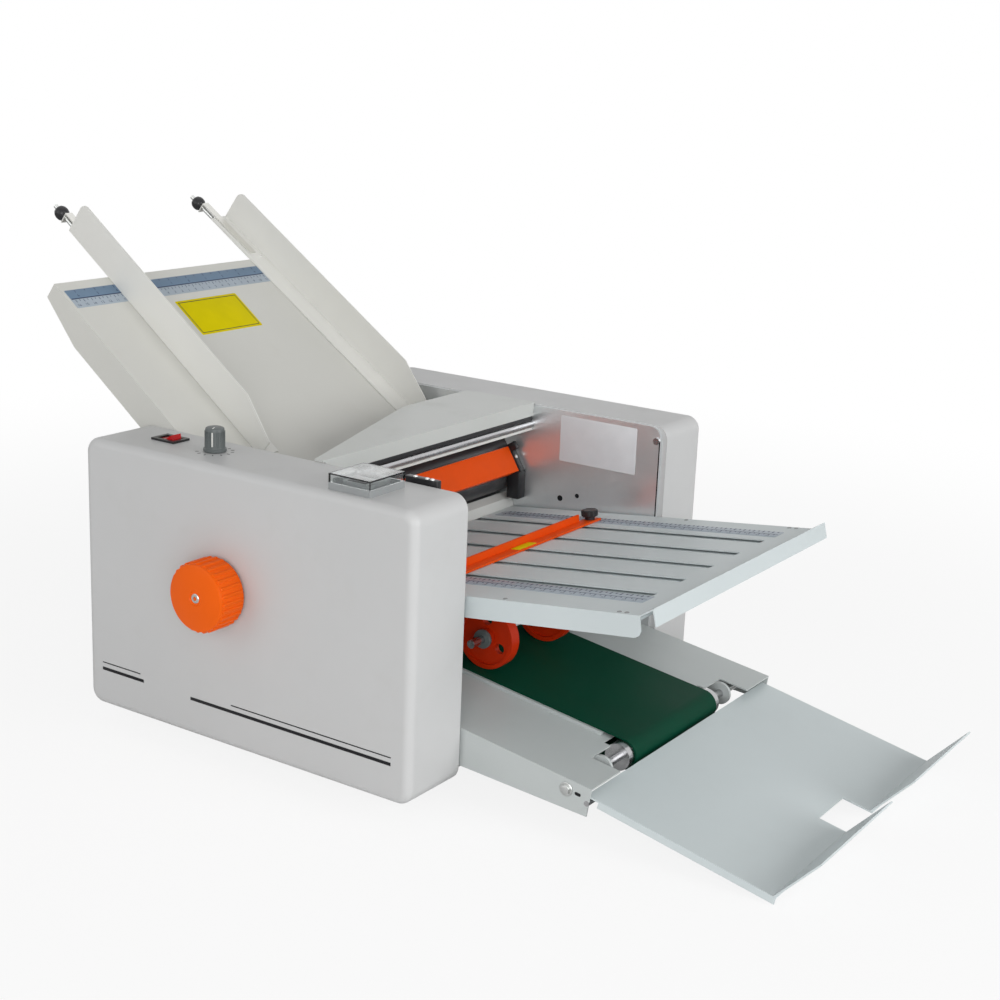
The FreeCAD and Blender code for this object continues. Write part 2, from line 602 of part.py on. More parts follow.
for word, side in (("near", -1), ("far", 1)):
    on_guide(make_guide(f"{word}_guide_form", side), side, f"{word}_guide")
    on_guide(make_bar(f"{word}_bar_form", side), side, f"{word}_guide_bar")
    on_guide(make_bar_knob(f"{word}_bar_knob_form", side), side, f"{word}_bar_knob")


# ---------------------------------------------------------------- rollers, gears and pulleys

def make_roller(label, axle, radius, half_width, near_reach, far_reach):
    """A roller with a thinner shaft that reaches out of it on both sides."""
    x, z = AXLES[axle]
    barrel = cylinder(label + "_barrel", radius, f"2 * ({half_width})", (x, f"-({half_width})", z))
    shaft = cylinder(label + "_shaft", "shaft_radius", f"{near_reach} + {far_reach}",
                     (x, f"-({near_reach})", z))
    return node(fuse(label, [barrel, shaft]), label)


SHORT = "(gap_half + 5)"
GEARED = "(gear_y + gear_width)"
BARREL = "inner_half - roller_end_gap"
make_roller("main_roller", "main", "roller_radius", BARREL, "(outer_half + 12)",
            "(track_y + 3 * track_width + 4)")
make_roller("upper_roller", "upper", "roller_radius", BARREL, SHORT, GEARED)
make_roller("lower_roller", "lower", "roller_radius", BARREL, SHORT, GEARED)
make_roller("exit_roller", "exit", "roller_radius", BARREL, SHORT, GEARED)
make_roller("feed_roller", "feed", "feed_roller_radius", "feed_roller_width / 2", SHORT,
            "(track_y + 2 * track_width + 1)")


def tooth_outline(teeth, module, backlash, phase):
    """Points round a spur gear: straight-flanked teeth with a narrow tip and a wide root."""
    pitch = module * teeth / 2
    levels = ((pitch - 1.2 * module, 0.62), (pitch, 0.5), (pitch + 0.9 * module, 0.26))
    points = []
    for tooth in range(teeth):
        middle = phase + 2 * math.pi * tooth / teeth
        for rising in (True, False):
            for radius, share in (levels if rising else levels[::-1]):
                half = (math.pi * module * share - backlash) / (2 * radius)
                turn = middle - half if rising else middle + half
                points.append(Vector(radius * math.cos(turn), 0, radius * math.sin(turn)))
    return points


def make_gear(label, axle, phase):
    """A spur gear with a plain bore, on the far end of a fold roller's shaft."""
    teeth = int(value("gear_teeth"))
    module = value("roller_pitch") / teeth
    points = tooth_outline(teeth, module, value("gear_backlash"), phase)
    face = Part.Face(Part.makePolygon(points + points[:1]))
    solid = face.extrude(Vector(0, value("gear_width"), 0))
    bore = Part.makeCylinder(value("shaft_radius") + 0.02, 3 * value("gear_width"),
                             Vector(0, -value("gear_width"), 0), Vector(0, 1, 0))
    gear = doc.addObject("Part::Feature", label)
    gear.Shape = solid.cut(bore)
    x, z = AXLES[axle]
    put(gear, (x, "gear_y", z))
    return node(gear, label)


def mesh_phase(driver_phase, turn):
    """The phase at which a gear meshes with its driver, which lies at this angle from it."""
    teeth = int(value("gear_teeth"))
    line = math.radians(turn)
    step = 2 * math.pi / teeth
    # On the line of centres the driver's tooth angle and the follower's are half a tooth apart.
    driver_offset = (line - driver_phase) % step
    return line + math.pi + driver_offset + step / 2


MAIN_PHASE = 0.0
UPPER_PHASE = mesh_phase(MAIN_PHASE, value("upper_roller_turn"))
LOWER_PHASE = mesh_phase(MAIN_PHASE, value("lower_roller_turn"))
EXIT_PHASE = mesh_phase(LOWER_PHASE, value("exit_roller_turn"))
make_gear("main_gear", "main", MAIN_PHASE)
make_gear("upper_gear", "upper", UPPER_PHASE)
make_gear("lower_gear", "lower", LOWER_PHASE)
make_gear("exit_gear", "exit", EXIT_PHASE)


def make_pulley(label, x, z, tracks, first, bore, radius, extra=()):
    """A flanged pulley with one running track for each belt it carries."""
    low = f"track_y + {first} * track_width"
    drum = cylinder(label + "_drum", radius, f"{tracks} * track_width", (x, low, z))
    rims = [
        cylinder(f"{label}_rim_{n}", f"{radius} + 2.5", "1",
                 (x, f"{low} + {n} * track_width" + (" - 1" if n == tracks else ""), z))
        for n in range(tracks + 1)
    ]
    solid = fuse(label + "_blank", [drum] + rims + list(extra))
    if bore is None:
        solid.Label = label
        return node(solid, label)
    hole = cylinder(label + "_bore", bore, "80", (x, "track_y - 20", z))
    return node(cut(label, solid, [hole]), label)


make_pulley("main_pulley", "main_x", "main_z", 3, 0, "shaft_radius + 0.02", "main_pulley_radius")
make_pulley("feed_pulley", "feed_x", "feed_z", 1, 1, "shaft_radius + 0.02", "main_pulley_radius")
motor_shaft = cylinder("motor_shaft", "motor_shaft_radius", "track_y - inner_half + 12",
                       ("motor_x", "inner_half - 10", "motor_z"))
make_pulley("motor_pulley", "motor_x", "motor_z", 1, 0, None, "motor_pulley_radius", [motor_shaft])


def make_drive_roller():
    """The belt's driving roller, its shaft and the pulley turned on the end of it."""
    x, z = AXLES["drive_roller"]
    parts = [
        cylinder("drive_roller_barrel", "belt_roller_radius", "2 * belt_roller_half",
                 (x, "-belt_roller_half", z)),
        cylinder("drive_roller_shaft", "shaft_radius", "gap_half + 5 + track_y + 3 * track_width",
                 (x, "-gap_half - 5", z)),
        cylinder("drive_roller_pulley", "belt_pulley_radius", "track_width",
                 (x, "track_y + 2 * track_width", z)),
    ]
    return node(fuse("belt_drive_roller", parts), "belt_drive_roller")


make_drive_roller()


def loop_wire(start, end, start_radius, end_radius):
    """The outline of a belt round two pulleys: two arcs and two straight runs."""
    run = end - start
    turn = math.atan2(run.z, run.x)
    lean = math.acos((start_radius - end_radius) / run.Length)

    def at(center, radius, angle):
        return center + Vector(radius * math.cos(angle), 0, radius * math.sin(angle))

    upper, lower = turn + lean, turn - lean
    a_up, a_low = at(start, start_radius, upper), at(start, start_radius, lower)
    b_up, b_low = at(end, end_radius, upper), at(end, end_radius, lower)
    back = at(start, start_radius, turn + math.pi)
    front = at(end, end_radius, turn)
    edges = [
        Part.LineSegment(a_up, b_up).toShape(),
        Part.Arc(b_up, front, b_low).toShape(),
        Part.LineSegment(b_low, a_low).toShape(),
        Part.Arc(a_low, back, a_up).toShape(),
    ]
    return Part.Wire(edges)


def loop_belt(start, end, start_radius, end_radius, wall, low_y, width):
    """A closed flat belt round two pulleys, as one solid."""
    start, end = Vector(start.x, low_y, start.z), Vector(end.x, low_y, end.z)
    outer = Part.Face(loop_wire(start, end, start_radius + wall, end_radius + wall))
    inner = Part.Face(loop_wire(start, end, start_radius, end_radius))
    return outer.cut(inner).Faces[0].extrude(Vector(0, width, 0))


def make_drive_belts():
    gap, wall, track = value("seat_gap"), value("belt_wall"), value("track_width")
    main = Vector(value("main_x"), 0, value("main_z"))
    runs = (
        (Vector(value("motor_x"), 0, value("motor_z")), value("motor_pulley_radius"), 0),
        (Vector(value("feed_x"), 0, value("feed_z")), value("main_pulley_radius"), 1),
        (Vector(value("drive_roller_x"), 0, value("drive_roller_z")), value("belt_pulley_radius"), 2),
    )
    belts = [
        loop_belt(center, main, radius + gap, value("main_pulley_radius") + gap, wall,
                  value("track_y") + number * track + 1.3, track - 2.6)
        for center, radius, number in runs
    ]
    piece = doc.addObject("Part::Feature", "drive_belts")
    piece.Shape = Part.makeCompound(belts)
    piece.Placement = Placement()
    return node(piece, "drive_belts")


make_drive_belts()


def make_motor():
    can = cylinder("motor_can", "motor_radius", "motor_length",
                   ("motor_x", "inner_half - motor_length", "motor_z"))
    cap = cylinder("motor_cap", "motor_radius - 6", "8",
                   ("motor_x", "inner_half - motor_length - 8", "motor_z"))
    bore = cylinder("motor_bore", "motor_shaft_radius + shaft_gap", "10.5",
                    ("motor_x", "inner_half - 10.3", "motor_z"))
    return node(cut("drive_motor", fuse("motor_blank", [can, cap]), [bore]), "drive_motor")


make_motor()

separator = box("separator_blank", ("separator_length", "separator_width", "separator_height"),
                ("-separator_lead", "-separator_width / 2", "seat_gap"))
separator_form = group("separator_form", [separator])
put(separator_form, ("feed_touch_x", "0", "feed_touch_z"), (TILT, "tray_slope"))
separator_bore = cylinder("separator_bore", "tie_radius + shaft_gap", "separator_width + 4",
                          ("separator_rod_x", "-separator_width / 2 - 2", "separator_rod_z"))
node(cut("separator_block", separator_form, [separator_bore]), "separator_block")


# ---------------------------------------------------------------- top cover and roller guard

def make_cover():
    """A flat sheet with a lip along its ridge; its near rear corner is swept away, and its far
    rear corner is notched to clear the side plate as the cover swings up."""
    sheet = pad("cover_sheet", "xy",
                (("cover_x", "-gap_half + seat_gap"), ("cover_x", "gap_half - seat_gap"),
                 ("cover_hinge_x + hinge_rod_inset", "gap_half - seat_gap"),
                 ("cover_hinge_x + hinge_rod_inset", "fit_half"),
                 ("cover_x - cover_depth", "fit_half"),
                 ("cover_x - cover_depth", "-gap_half + cover_sweep"),
                 ("cover_x - cover_near_depth", "-gap_half + seat_gap")),
                "sheet_wall", offset="cover_z - sheet_wall")
    corner = (value("cover_x") - value("cover_depth"), value("cover_sweep") - value("gap_half"))
    round_edges(sheet, "cover_sweep_round", "cover_sweep / 2",
                lambda edge: runs_along(edge, "z") and abs(edge.BoundBox.XMin - corner[0]) < 0.01
                and abs(edge.BoundBox.YMin - corner[1]) < 0.01)
    lip = box("cover_lip_sheet", ("sheet_wall", "2 * fit_half", "cover_lip"),
              ("cover_x - sheet_wall", "-fit_half", "cover_z - cover_lip"))
    knuckles = [
        cylinder(f"cover_knuckle_{n}", "hinge_radius + hinge_wall", "hinge_lug_width",
                 ("cover_hinge_x", f"inner_half - 30 - {70 * n} - hinge_lug_width", "cover_hinge_z"))
        for n in range(2)
    ]
    bore = cylinder("cover_knuckle_bore", "hinge_radius + shaft_gap", "inner_half",
                    ("cover_hinge_x", "0", "cover_hinge_z"))
    return node(cut("top_cover", fuse("cover_blank", [sheet, lip] + knuckles), [bore]), "top_cover")


make_cover()

node(box("guide_strip", ("strip_depth", "2 * fit_half", "strip_wall"),
         ("cover_x - 1 - strip_depth", "-fit_half", "strip_low")), "guide_strip")


def on_guard(piece):
    """The guard's own frame: its face runs down and forward from the top edge."""
    return put(piece, ("rear_x + guard_place", "0", "guard_top"), (TILT, "guard_tilt"))


guard_sheets = [
    box("guard_face_sheet", ("guard_face", "2 * guard_half_length", "sheet_wall"),
        ("0", "-guard_half_length", "-sheet_wall")),
    box("guard_top_flange", ("sheet_wall", "2 * guard_half_length", "guard_flange"),
        ("0", "-guard_half_length", "-guard_flange")),
    box("guard_low_flange", ("sheet_wall", "2 * guard_half_length", "guard_flange"),
        ("guard_face - sheet_wall", "-guard_half_length", "-guard_flange")),
]
node(on_guard(fuse("roller_guard", guard_sheets)), "roller_guard")
guard_ends = [
    box(f"guard_end_{word}", ("guard_face", "fit_half - guard_half_length - seat_gap", "8"),
        ("0", low_y, "-8"))
    for word, low_y in (("near", "-fit_half"), ("far", "guard_half_length + seat_gap"))
]
node(on_guard(group("guard_brackets", guard_ends)), "guard_brackets")

def make_lower_guide():
    """A bent deflector under the upper roller, which turns the paper down into the front plate."""
    x, z = "(rear_x + lower_guide_place)", "lower_guide_height"
    knee = (f"{x} + lower_guide_depth", f"{z} - lower_guide_fall")
    toe = (f"{knee[0]} + lower_guide_toe", f"{knee[1]} - lower_guide_drop")
    profile = ((x, z), knee, toe, (f"{toe[0]} - sheet_wall", toe[1]),
               (f"{knee[0]} - sheet_wall", f"{knee[1]} - sheet_wall"), (x, f"{z} - sheet_wall"))
    return node(pad("lower_guide_plate", "xz", profile, "2 * fit_half", midplane=True),
                "lower_guide_plate")


make_lower_guide()


# ---------------------------------------------------------------- fold plates

def slot_middle(number):
    """The place of one slot across the fold plates."""
    return f"slot_offset + ({number} - (slot_count - 1) / 2) * slot_pitch"


def make_fold_plate(name, length, slot_end, setback):
    """Two slotted sheets a paper's gap apart, joined at their sides, with an outer lip turned down.

    Its frame has the origin at the middle of the mouth's upper edge, and +X runs outwards.
    """
    half = "plate_half_width"
    upper = box(name + "_upper", (f"{length} - ({setback})", f"2 * {half}", "plate_wall"),
                (setback, f"-{half}", "-plate_wall"))
    lower = box(name + "_lower", (length, f"2 * {half}", "plate_wall"),
                ("0", f"-{half}", "-plate_thickness"))
    walls = [
        box(f"{name}_{word}_wall", (f"{length} - ({setback})", "6", "plate_thickness"),
            (setback, low_y, "-plate_thickness"))
        for word, low_y in (("near", f"-{half}"), ("far", f"{half} - 6"))
    ]
    skirt_profile = (("130", "0"), (length, "0"), (length, "6 - plate_skirt"),
                     (f"{length} - 2", "2 - plate_skirt"), (f"{length} - 6", "-plate_skirt"),
                     ("130", "-plate_skirt"))
    skirts = [
        pad(f"{name}_{word}_skirt", "xz", skirt_profile, "plate_wall", offset=offset)
        for word, offset in (("near", f"{half} - plate_wall"), ("far", f"-{half}"))
    ]
    end = box(name + "_end", ("plate_wall", f"2 * {half}", "plate_thickness"),
              (f"{length} - plate_wall", f"-{half}", "-plate_thickness"))
    lip_profile = ((f"{length} - 0.5", "0"), (f"{length} - 0.5", "-plate_wall"),
                   (f"{length} + plate_lip_out", "plate_lip_rise - plate_wall"),
                   (f"{length} + plate_lip_out", "plate_lip_rise"))
    lip = pad(name + "_lip", "xz", lip_profile, f"2 * {half}", midplane=True)
    tip, fall = f"{length} + plate_lip_out", "plate_lip_rise - plate_lip_fall"
    drop_profile = ((tip, "plate_lip_rise"), (f"{tip} + plate_lip_lean", fall),
                    (f"{tip} + plate_lip_lean - plate_wall", fall),
                    (f"{tip} - plate_wall", "plate_lip_rise - plate_wall"))
    drop = pad(name + "_lip_face", "xz", drop_profile, f"2 * {half}", midplane=True)
    slots = [
        box(f"{name}_{word}_slot_{n}", (f"{slot_end} - slot_mouth_inset", width, tall),
            ("slot_mouth_inset", f"{slot_middle(n)} - {width} / 2", low))
        for n in range(int(value("slot_count")))
        for word, width, tall, low in (
            ("upper", "slot_width", "plate_thickness", "-plate_wall - 0.5"),
            ("under", "under_slot_width", "plate_wall + 1", "-plate_thickness - 0.5"),
        )
    ]
    return cut(name, fuse(name + "_blank", [upper, lower, end, lip, drop] + walls + skirts), slots)


def make_stop_bar(name, place):
    """A bar across the plate with a rib along it and a finger down each slot."""
    half = "stop_half_length"
    sheet = box(name + "_sheet", ("stop_width", f"2 * {half}", "2"), (place, f"-{half}", "seat_gap"))
    rib = box(name + "_rib", ("2", f"2 * {half} - 44", "stop_height"),
              (place, f"-{half} + 22", "seat_gap"))
    fingers = [
        box(f"{name}_finger_{n}", ("8", "stop_finger", "plate_thickness + 2 * seat_gap"),
            (place, f"{slot_middle(n)} - stop_finger / 2", "-plate_thickness"))
        for n in range(int(value("slot_count")))
    ]
    return fuse(name, [sheet, rib] + fingers)


def on_front_plate(piece, label):
    at = ("plate_end_x - plate_length * cos(plate_slope)", "0",
          "plate_end_height - plate_length * sin(plate_slope)")
    return node(put(piece, at, (TILT, "-plate_slope")), label)


def on_rear_plate(piece, label):
    """Half a turn about a leaning axis points a plate down and to the rear, still right side up."""
    piece.Placement = Placement(Vector(), Rotation(Vector(0, 0, 1), 180))
    piece.setExpression("Placement.Rotation.Axis.x", bound("-sin(rear_plate_slope / 2)"))
    piece.setExpression("Placement.Rotation.Axis.z", bound("cos(rear_plate_slope / 2)"))
    at = ("rear_mouth_x - plate_thickness / 2 * sin(rear_plate_slope)", "0",
          "rear_mouth_z + plate_thickness / 2 * cos(rear_plate_slope)")
    return node(put(piece, at), label)


on_front_plate(make_fold_plate("front_plate_form", "plate_length", "plate_length - slot_end_inset",
                               "mouth_setback"),
               "front_fold_plate")
on_front_plate(make_stop_bar("front_stop_form", "plate_length - stop_place"), "front_stop_bar")
on_rear_plate(make_fold_plate("rear_plate_form", "rear_plate_length",
                              "rear_plate_length - slot_end_inset", "0"), "rear_fold_plate")
on_rear_plate(make_stop_bar("rear_stop_form", "rear_stop_place"), "rear_stop_bar")


def make_stop_knob(name, side):
    """A thumb knob with a neck that stands on the stop bar."""
    x, y = "plate_length - stop_place + stop_width / 2", f"{side}(stop_half_length - 10)"
    level = "2 + 2 * seat_gap"
    neck = cylinder(name + "_neck", "stop_knob_radius * 0.6", "4", (x, y, level), along="z")
    grip = cylinder(name + "_grip", "stop_knob_radius", "7", (x, y, f"{level} + 3"), along="z")
    return fuse(name, [neck, grip])


on_front_plate(make_stop_knob("near_stop_knob_form", "-"), "near_stop_knob")
on_front_plate(make_stop_knob("far_stop_knob_form", ""), "far_stop_knob")


# ---------------------------------------------------------------- conveyor and press wheels

def on_table(piece, label):
    """The conveyor's frame: origin at the middle of the table's outer edge, +X down its slope."""
    return node(put(piece, ("table_x", "0", "table_z"), (TILT, "table_slope")), label)


def make_conveyor_frame():
    """One bent sheet: a sloping table with a raised bed, side skirts and notches for the end roller."""
    table = box("table_sheet", ("table_length", "2 * fit_half", "sheet_wall"),
                ("-table_length", "-fit_half", "-sheet_wall"))
    bed = box("table_bed", ("table_length - notch_depth - 16", "2 * bed_half_width",
                            "belt_inner_radius - belt_roller_drop + sheet_wall - seat_gap"),
              ("-table_length", "-bed_half_width", "-sheet_wall"))
    profile = (("0", "0"), ("0", "-skirt_end_depth"), ("-table_length", "-skirt_deep_depth"),
               ("-table_length", "0"))
    near = pad("table_near_skirt", "xz", profile, "sheet_wall", offset="fit_half - sheet_wall")
    far = pad("table_far_skirt", "xz", profile, "sheet_wall", offset="-fit_half")
    notch = box("table_notch", ("notch_depth + 1", "2 * notch_half_width", "20"),
                ("-notch_depth", "-notch_half_width", "-10"))
    roller_room = box("table_roller_room",
                      ("belt_roller_inset + belt_roller_radius + 2", "2 * belt_roller_half + 6", "20"),
                      ("-belt_roller_inset - belt_roller_radius - 2", "-belt_roller_half - 3", "-10"))
    bolt_hole = cylinder("table_bolt_hole", "bolt_radius + shaft_gap", "2 * fit_half + 10",
                         ("-belt_roller_inset", "-fit_half - 5", "-belt_roller_drop"))
    hinge_u = ("(hinge_x - table_x) * cos(table_slope) - (hinge_z - table_z) * sin(table_slope)")
    hinge_w = ("(hinge_x - table_x) * sin(table_slope) + (hinge_z - table_z) * cos(table_slope)")
    hinge_hole = cylinder("table_hinge_hole", "hinge_radius + shaft_gap", "2 * fit_half + 10",
                          (hinge_u, "-fit_half - 5", hinge_w))
    blank = fuse("conveyor_blank", [table, bed, near, far])
    return on_table(cut("conveyor_form", blank, [notch, roller_room, bolt_hole, hinge_hole]),
                    "conveyor_frame")


make_conveyor_frame()


def make_delivery_belt():
    radius = value("belt_inner_radius")
    start = Vector(value("drive_roller_x"), 0, value("drive_roller_z"))
    end = Vector(value("end_roller_x"), 0, value("end_roller_z"))
    half = value("belt_half_width")
    piece = doc.addObject("Part::Feature", "delivery_belt")
    piece.Shape = loop_belt(start, end, radius, radius, value("belt_wall"), -half, 2 * half)
    piece.Placement = Placement()
    return node(piece, "delivery_belt")


make_delivery_belt()

end_roller = fuse("end_roller_form", [
    cylinder("end_roller_barrel", "belt_roller_radius", "2 * belt_roller_half",
             ("-belt_roller_inset", "-belt_roller_half", "-belt_roller_drop")),
    cylinder("end_roller_shaft", "bolt_radius", "2 * (notch_half_width - 2)",
             ("-belt_roller_inset", "-notch_half_width + 2", "-belt_roller_drop")),
])
on_table(end_roller, "belt_end_roller")


def make_roller_brackets():
    """Two round-nosed ears that hold the end roller's shaft, each on a foot under the table."""
    ears = []
    for word, low_y, foot_y in (
        ("near", "-notch_half_width + 8", "-notch_half_width - 14"),
        ("far", "notch_half_width - 11", "notch_half_width - 11"),
    ):
        title = f"{word}_roller_bracket"
        ear = cylinder(title + "_ear", "11", "3", ("-belt_roller_inset", low_y, "-belt_roller_drop"))
        foot = box(title + "_foot", ("18", "25", "3"),
                   ("-belt_roller_inset - 26", foot_y, "-sheet_wall - 3"))
        web = box(title + "_web", ("24", "3", "8"),
                  ("-belt_roller_inset - 26", low_y, "-sheet_wall - 8"))
        bore = cylinder(title + "_bore", "bolt_radius + shaft_gap", "9",
                        ("-belt_roller_inset", f"{low_y} - 3", "-belt_roller_drop"))
        ears.append(cut(title, fuse(title + "_blank", [ear, foot, web]), [bore]))
    return on_table(group("roller_brackets", ears), "roller_brackets")


make_roller_brackets()

tension_bolts = []
for word, head_y, stem_y in (
    ("near", "-fit_half - 3.5", "-fit_half"),
    ("far", "fit_half", "notch_half_width - 1"),
):
    tension_bolts.append(fuse(f"{word}_tension_bolt", [
        cylinder(f"{word}_bolt_head", "6.5", "3.5",
                 ("-belt_roller_inset", head_y, "-belt_roller_drop")),
        cylinder(f"{word}_bolt_stem", "bolt_radius", "fit_half - notch_half_width + 1",
                 ("-belt_roller_inset", stem_y, "-belt_roller_drop")),
    ]))
on_table(group("tension_bolts", tension_bolts), "tension_bolts")


def make_press_wheel(word):
    """A disc wheel with a hub and round windows, which runs on the belt."""
    low = f"{word}_wheel_place - wheel_width / 2"
    disc = cylinder(f"{word}_disc", "wheel_radius", "wheel_width", ("wheel_x", low, "wheel_z"))
    hub = cylinder(f"{word}_hub", "wheel_shaft_radius + 5", "wheel_width + 3",
                   ("wheel_x", f"{low} - 1.5", "wheel_z"))
    windows = [
        cylinder(f"{word}_window_{n}", "5", "wheel_width + 2",
                 (f"wheel_x + 0.56 * wheel_radius * cos({90 + 120 * n})", f"{low} - 1",
                  f"wheel_z + 0.56 * wheel_radius * sin({90 + 120 * n})"))
        for n in range(3)
    ]
    dishes = []
    for n, start in enumerate((f"{low} - 1", f"{low} + wheel_width * 3 / 4")):
        ring = cylinder(f"{word}_dish_ring_{n}", "wheel_radius - 4", "wheel_width / 4 + 1",
                        ("wheel_x", start, "wheel_z"))
        core = cylinder(f"{word}_dish_core_{n}", "wheel_shaft_radius + 5", "wheel_width",
                        ("wheel_x", f"{start} - 2", "wheel_z"))
        dishes.append(cut(f"{word}_dish_{n}", ring, [core]))
    bore = cylinder(f"{word}_wheel_bore", "wheel_shaft_radius + shaft_gap", "wheel_width + 12",
                    ("wheel_x", f"{low} - 6", "wheel_z"))
    wheel = cut(f"{word}_wheel_form", fuse(f"{word}_wheel_blank", [disc, hub]),
                windows + dishes + [bore])
    return node(wheel, f"{word}_wheel")


make_press_wheel("near")
make_press_wheel("far")


def make_wheel_carrier():
    """Two arms on the cross rod, and the shaft that they hold, welded into one piece."""
    shaft = cylinder("carrier_shaft", "wheel_shaft_radius",
                     "far_wheel_place - near_wheel_place + 2 * wheel_shaft_reach",
                     ("wheel_x", "near_wheel_place - wheel_shaft_reach", "wheel_z"))
    lean = "atan((wheel_x - carrier_x) / (carrier_z - wheel_z))"
    reach = "sqrt((wheel_x - carrier_x)^2 + (carrier_z - wheel_z)^2)"
    arms = []
    for number, y in enumerate(("near_wheel_place + 24", "far_wheel_place - 28")):
        web = box(f"arm_web_{number}", ("14", "carrier_arm", reach), ("-7", "0", f"-{reach}"))
        boss = cylinder(f"arm_boss_{number}", "tie_radius + 5", "carrier_arm", ("0", "0", "0"))
        foot = cylinder(f"arm_foot_{number}", "9", "carrier_arm", ("0", "0", f"-{reach}"))
        bore = cylinder(f"arm_bore_{number}", "tie_radius + shaft_gap", "carrier_arm + 4",
                        ("0", "-2", "0"))
        arm = cut(f"arm_{number}", fuse(f"arm_blank_{number}", [web, boss, foot]), [bore])
        arms.append(put(arm, ("carrier_x", y, "carrier_z"), (TILT, f"-{lean}")))
    return node(fuse("wheel_carrier", [shaft] + arms), "wheel_carrier")


make_wheel_carrier()


# ---------------------------------------------------------------- delivery tray

def make_delivery_tray():
    """A sloping sheet with side flanges, two up-turned lips and lugs round the hinge rod."""
    half = "delivery_half_width"
    sheet = box("delivery_sheet", ("delivery_length", f"2 * {half}", "sheet_wall"),
                ("0", f"-{half}", "-sheet_wall"))
    flanges = [
        box(f"delivery_{word}_flange", ("delivery_length - 12", "sheet_wall", "delivery_flange"),
            ("12", low_y, "-delivery_flange"))
        for word, low_y in (("near", f"-{half}"), ("far", f"{half} - sheet_wall"))
    ]
    lip_turn = "(delivery_slope + delivery_lip_slope)"
    lip = box("delivery_lip_sheet", ("delivery_lip", f"2 * {half}", "sheet_wall"), ("0", "0", "0"))
    put(lip, ("delivery_length - sheet_wall", f"-{half}", "-sheet_wall"), (TILT, f"-{lip_turn}"))
    notch = box("delivery_notch", ("notch_reach + delivery_lip", "notch_width", "200"),
                ("delivery_length - notch_reach", "notch_place - notch_width / 2", "-100"))
    hinge_u = "((hinge_x - delivery_x) * cos(delivery_slope) + hinge_under * sin(delivery_slope))"
    hinge_w = "((hinge_x - delivery_x) * sin(delivery_slope) - hinge_under * cos(delivery_slope))"
    lugs = []
    holes = []
    for word, sign in (("near", "-"), ("far", "")):
        low_y = f"{sign}hinge_lug_place - hinge_lug_width / 2"
        lugs.append(cylinder(f"{word}_lug_ring", "hinge_radius + hinge_wall", "hinge_lug_width",
                             (hinge_u, low_y, hinge_w)))
        lugs.append(box(f"{word}_lug_web", (f"14 - {hinge_u}", "hinge_lug_width", "sheet_wall + 0.6"),
                        (hinge_u, low_y, "-2 * sheet_wall - 0.6")))
        holes.append(cylinder(f"{word}_lug_bore", "hinge_radius + shaft_gap", "hinge_lug_width + 4",
                              (hinge_u, f"{low_y} - 2", hinge_w)))
    blank = fuse("delivery_blank", [sheet, lip] + flanges + lugs)
    tray = cut("delivery_form", blank, [notch] + holes)
    at = ("delivery_x", "0", "delivery_z")
    return node(put(tray, at, (TILT, "delivery_slope")), "delivery_tray")


make_delivery_tray()


# ---------------------------------------------------------------- controls

def make_hand_knob():
    """A fluted knob on the main roller's shaft, with a wider skirt at the housing."""
    grip = cylinder("knob_grip", "knob_radius", "knob_depth", ("main_x", "-outer_half - 2 - knob_depth",
                                                             "main_z"))
    skirt = cylinder("knob_skirt_ring", "knob_skirt", "8", ("main_x", "-outer_half - 10", "main_z"))
    flutes = [
        cylinder(f"knob_flute_{n}", "2.2", "knob_depth + 2",
                 (f"main_x + (knob_radius + 1) * cos({n} * 360 / knob_flutes)",
                  "-outer_half - 11 - knob_depth",
                  f"main_z + (knob_radius + 1) * sin({n} * 360 / knob_flutes)"))
        for n in range(int(value("knob_flutes")))
    ]
    bore = cylinder("knob_bore", "shaft_radius + 0.02", "16", ("main_x", "-outer_half - 12.5", "main_z"))
    return node(cut("hand_knob", fuse("knob_blank", [grip, skirt]), flutes + [bore]), "hand_knob")


make_hand_knob()


def make_switch():
    x, y = "(rear_x + switch_place)", "(-switch_center)"
    frame = box("bezel_frame", ("switch_length", "switch_width", "2"),
                (f"{x} - switch_length / 2", f"{y} - switch_width / 2", "housing_top"))
    well = box("bezel_well", ("switch_length - 4.6", "switch_width - 4.6", "22"),
               (f"{x} - switch_length / 2 + 2.3", f"{y} - switch_width / 2 + 2.3", "housing_top - 20"))
    opening = box("bezel_opening", ("switch_length - 8", "switch_width - 8", "24"),
                  (f"{x} - switch_length / 2 + 4", f"{y} - switch_width / 2 + 4", "housing_top - 17"))
    pivot_hole = cylinder("bezel_pivot_hole", "pivot_radius + shaft_gap", "switch_width - 6.6",
                          (x, f"{y} - (switch_width - 6.6) / 2", "housing_top - pivot_depth"))
    node(cut("switch_bezel", fuse("bezel_blank", [frame, well]), [opening, pivot_hole]), "switch_bezel")
    profile = ((f"{x} - switch_length / 2 + 6", "housing_top + 1"),
               (f"{x} - switch_length / 2 + 6", "housing_top - 4"),
               (x, "housing_top - 9"),
               (f"{x} + switch_length / 2 - 6", "housing_top - 4"),
               (f"{x} + switch_length / 2 - 6", "housing_top + 1"),
               (f"{x} + switch_length / 2 - 7", "housing_top + 6.2"),
               (x, "housing_top + 1.8"))
    rocker = pad("rocker_form", "xz", profile, "switch_width - 9",
                 offset=f"-({y}) - (switch_width - 9) / 2")
    pivot = cylinder("rocker_pivot", "pivot_radius", "switch_width - 7.2",
                     (x, f"{y} - (switch_width - 7.2) / 2", "housing_top - pivot_depth"))
    node(fuse("rocker_switch", [rocker, pivot]), "rocker_switch")


make_switch()


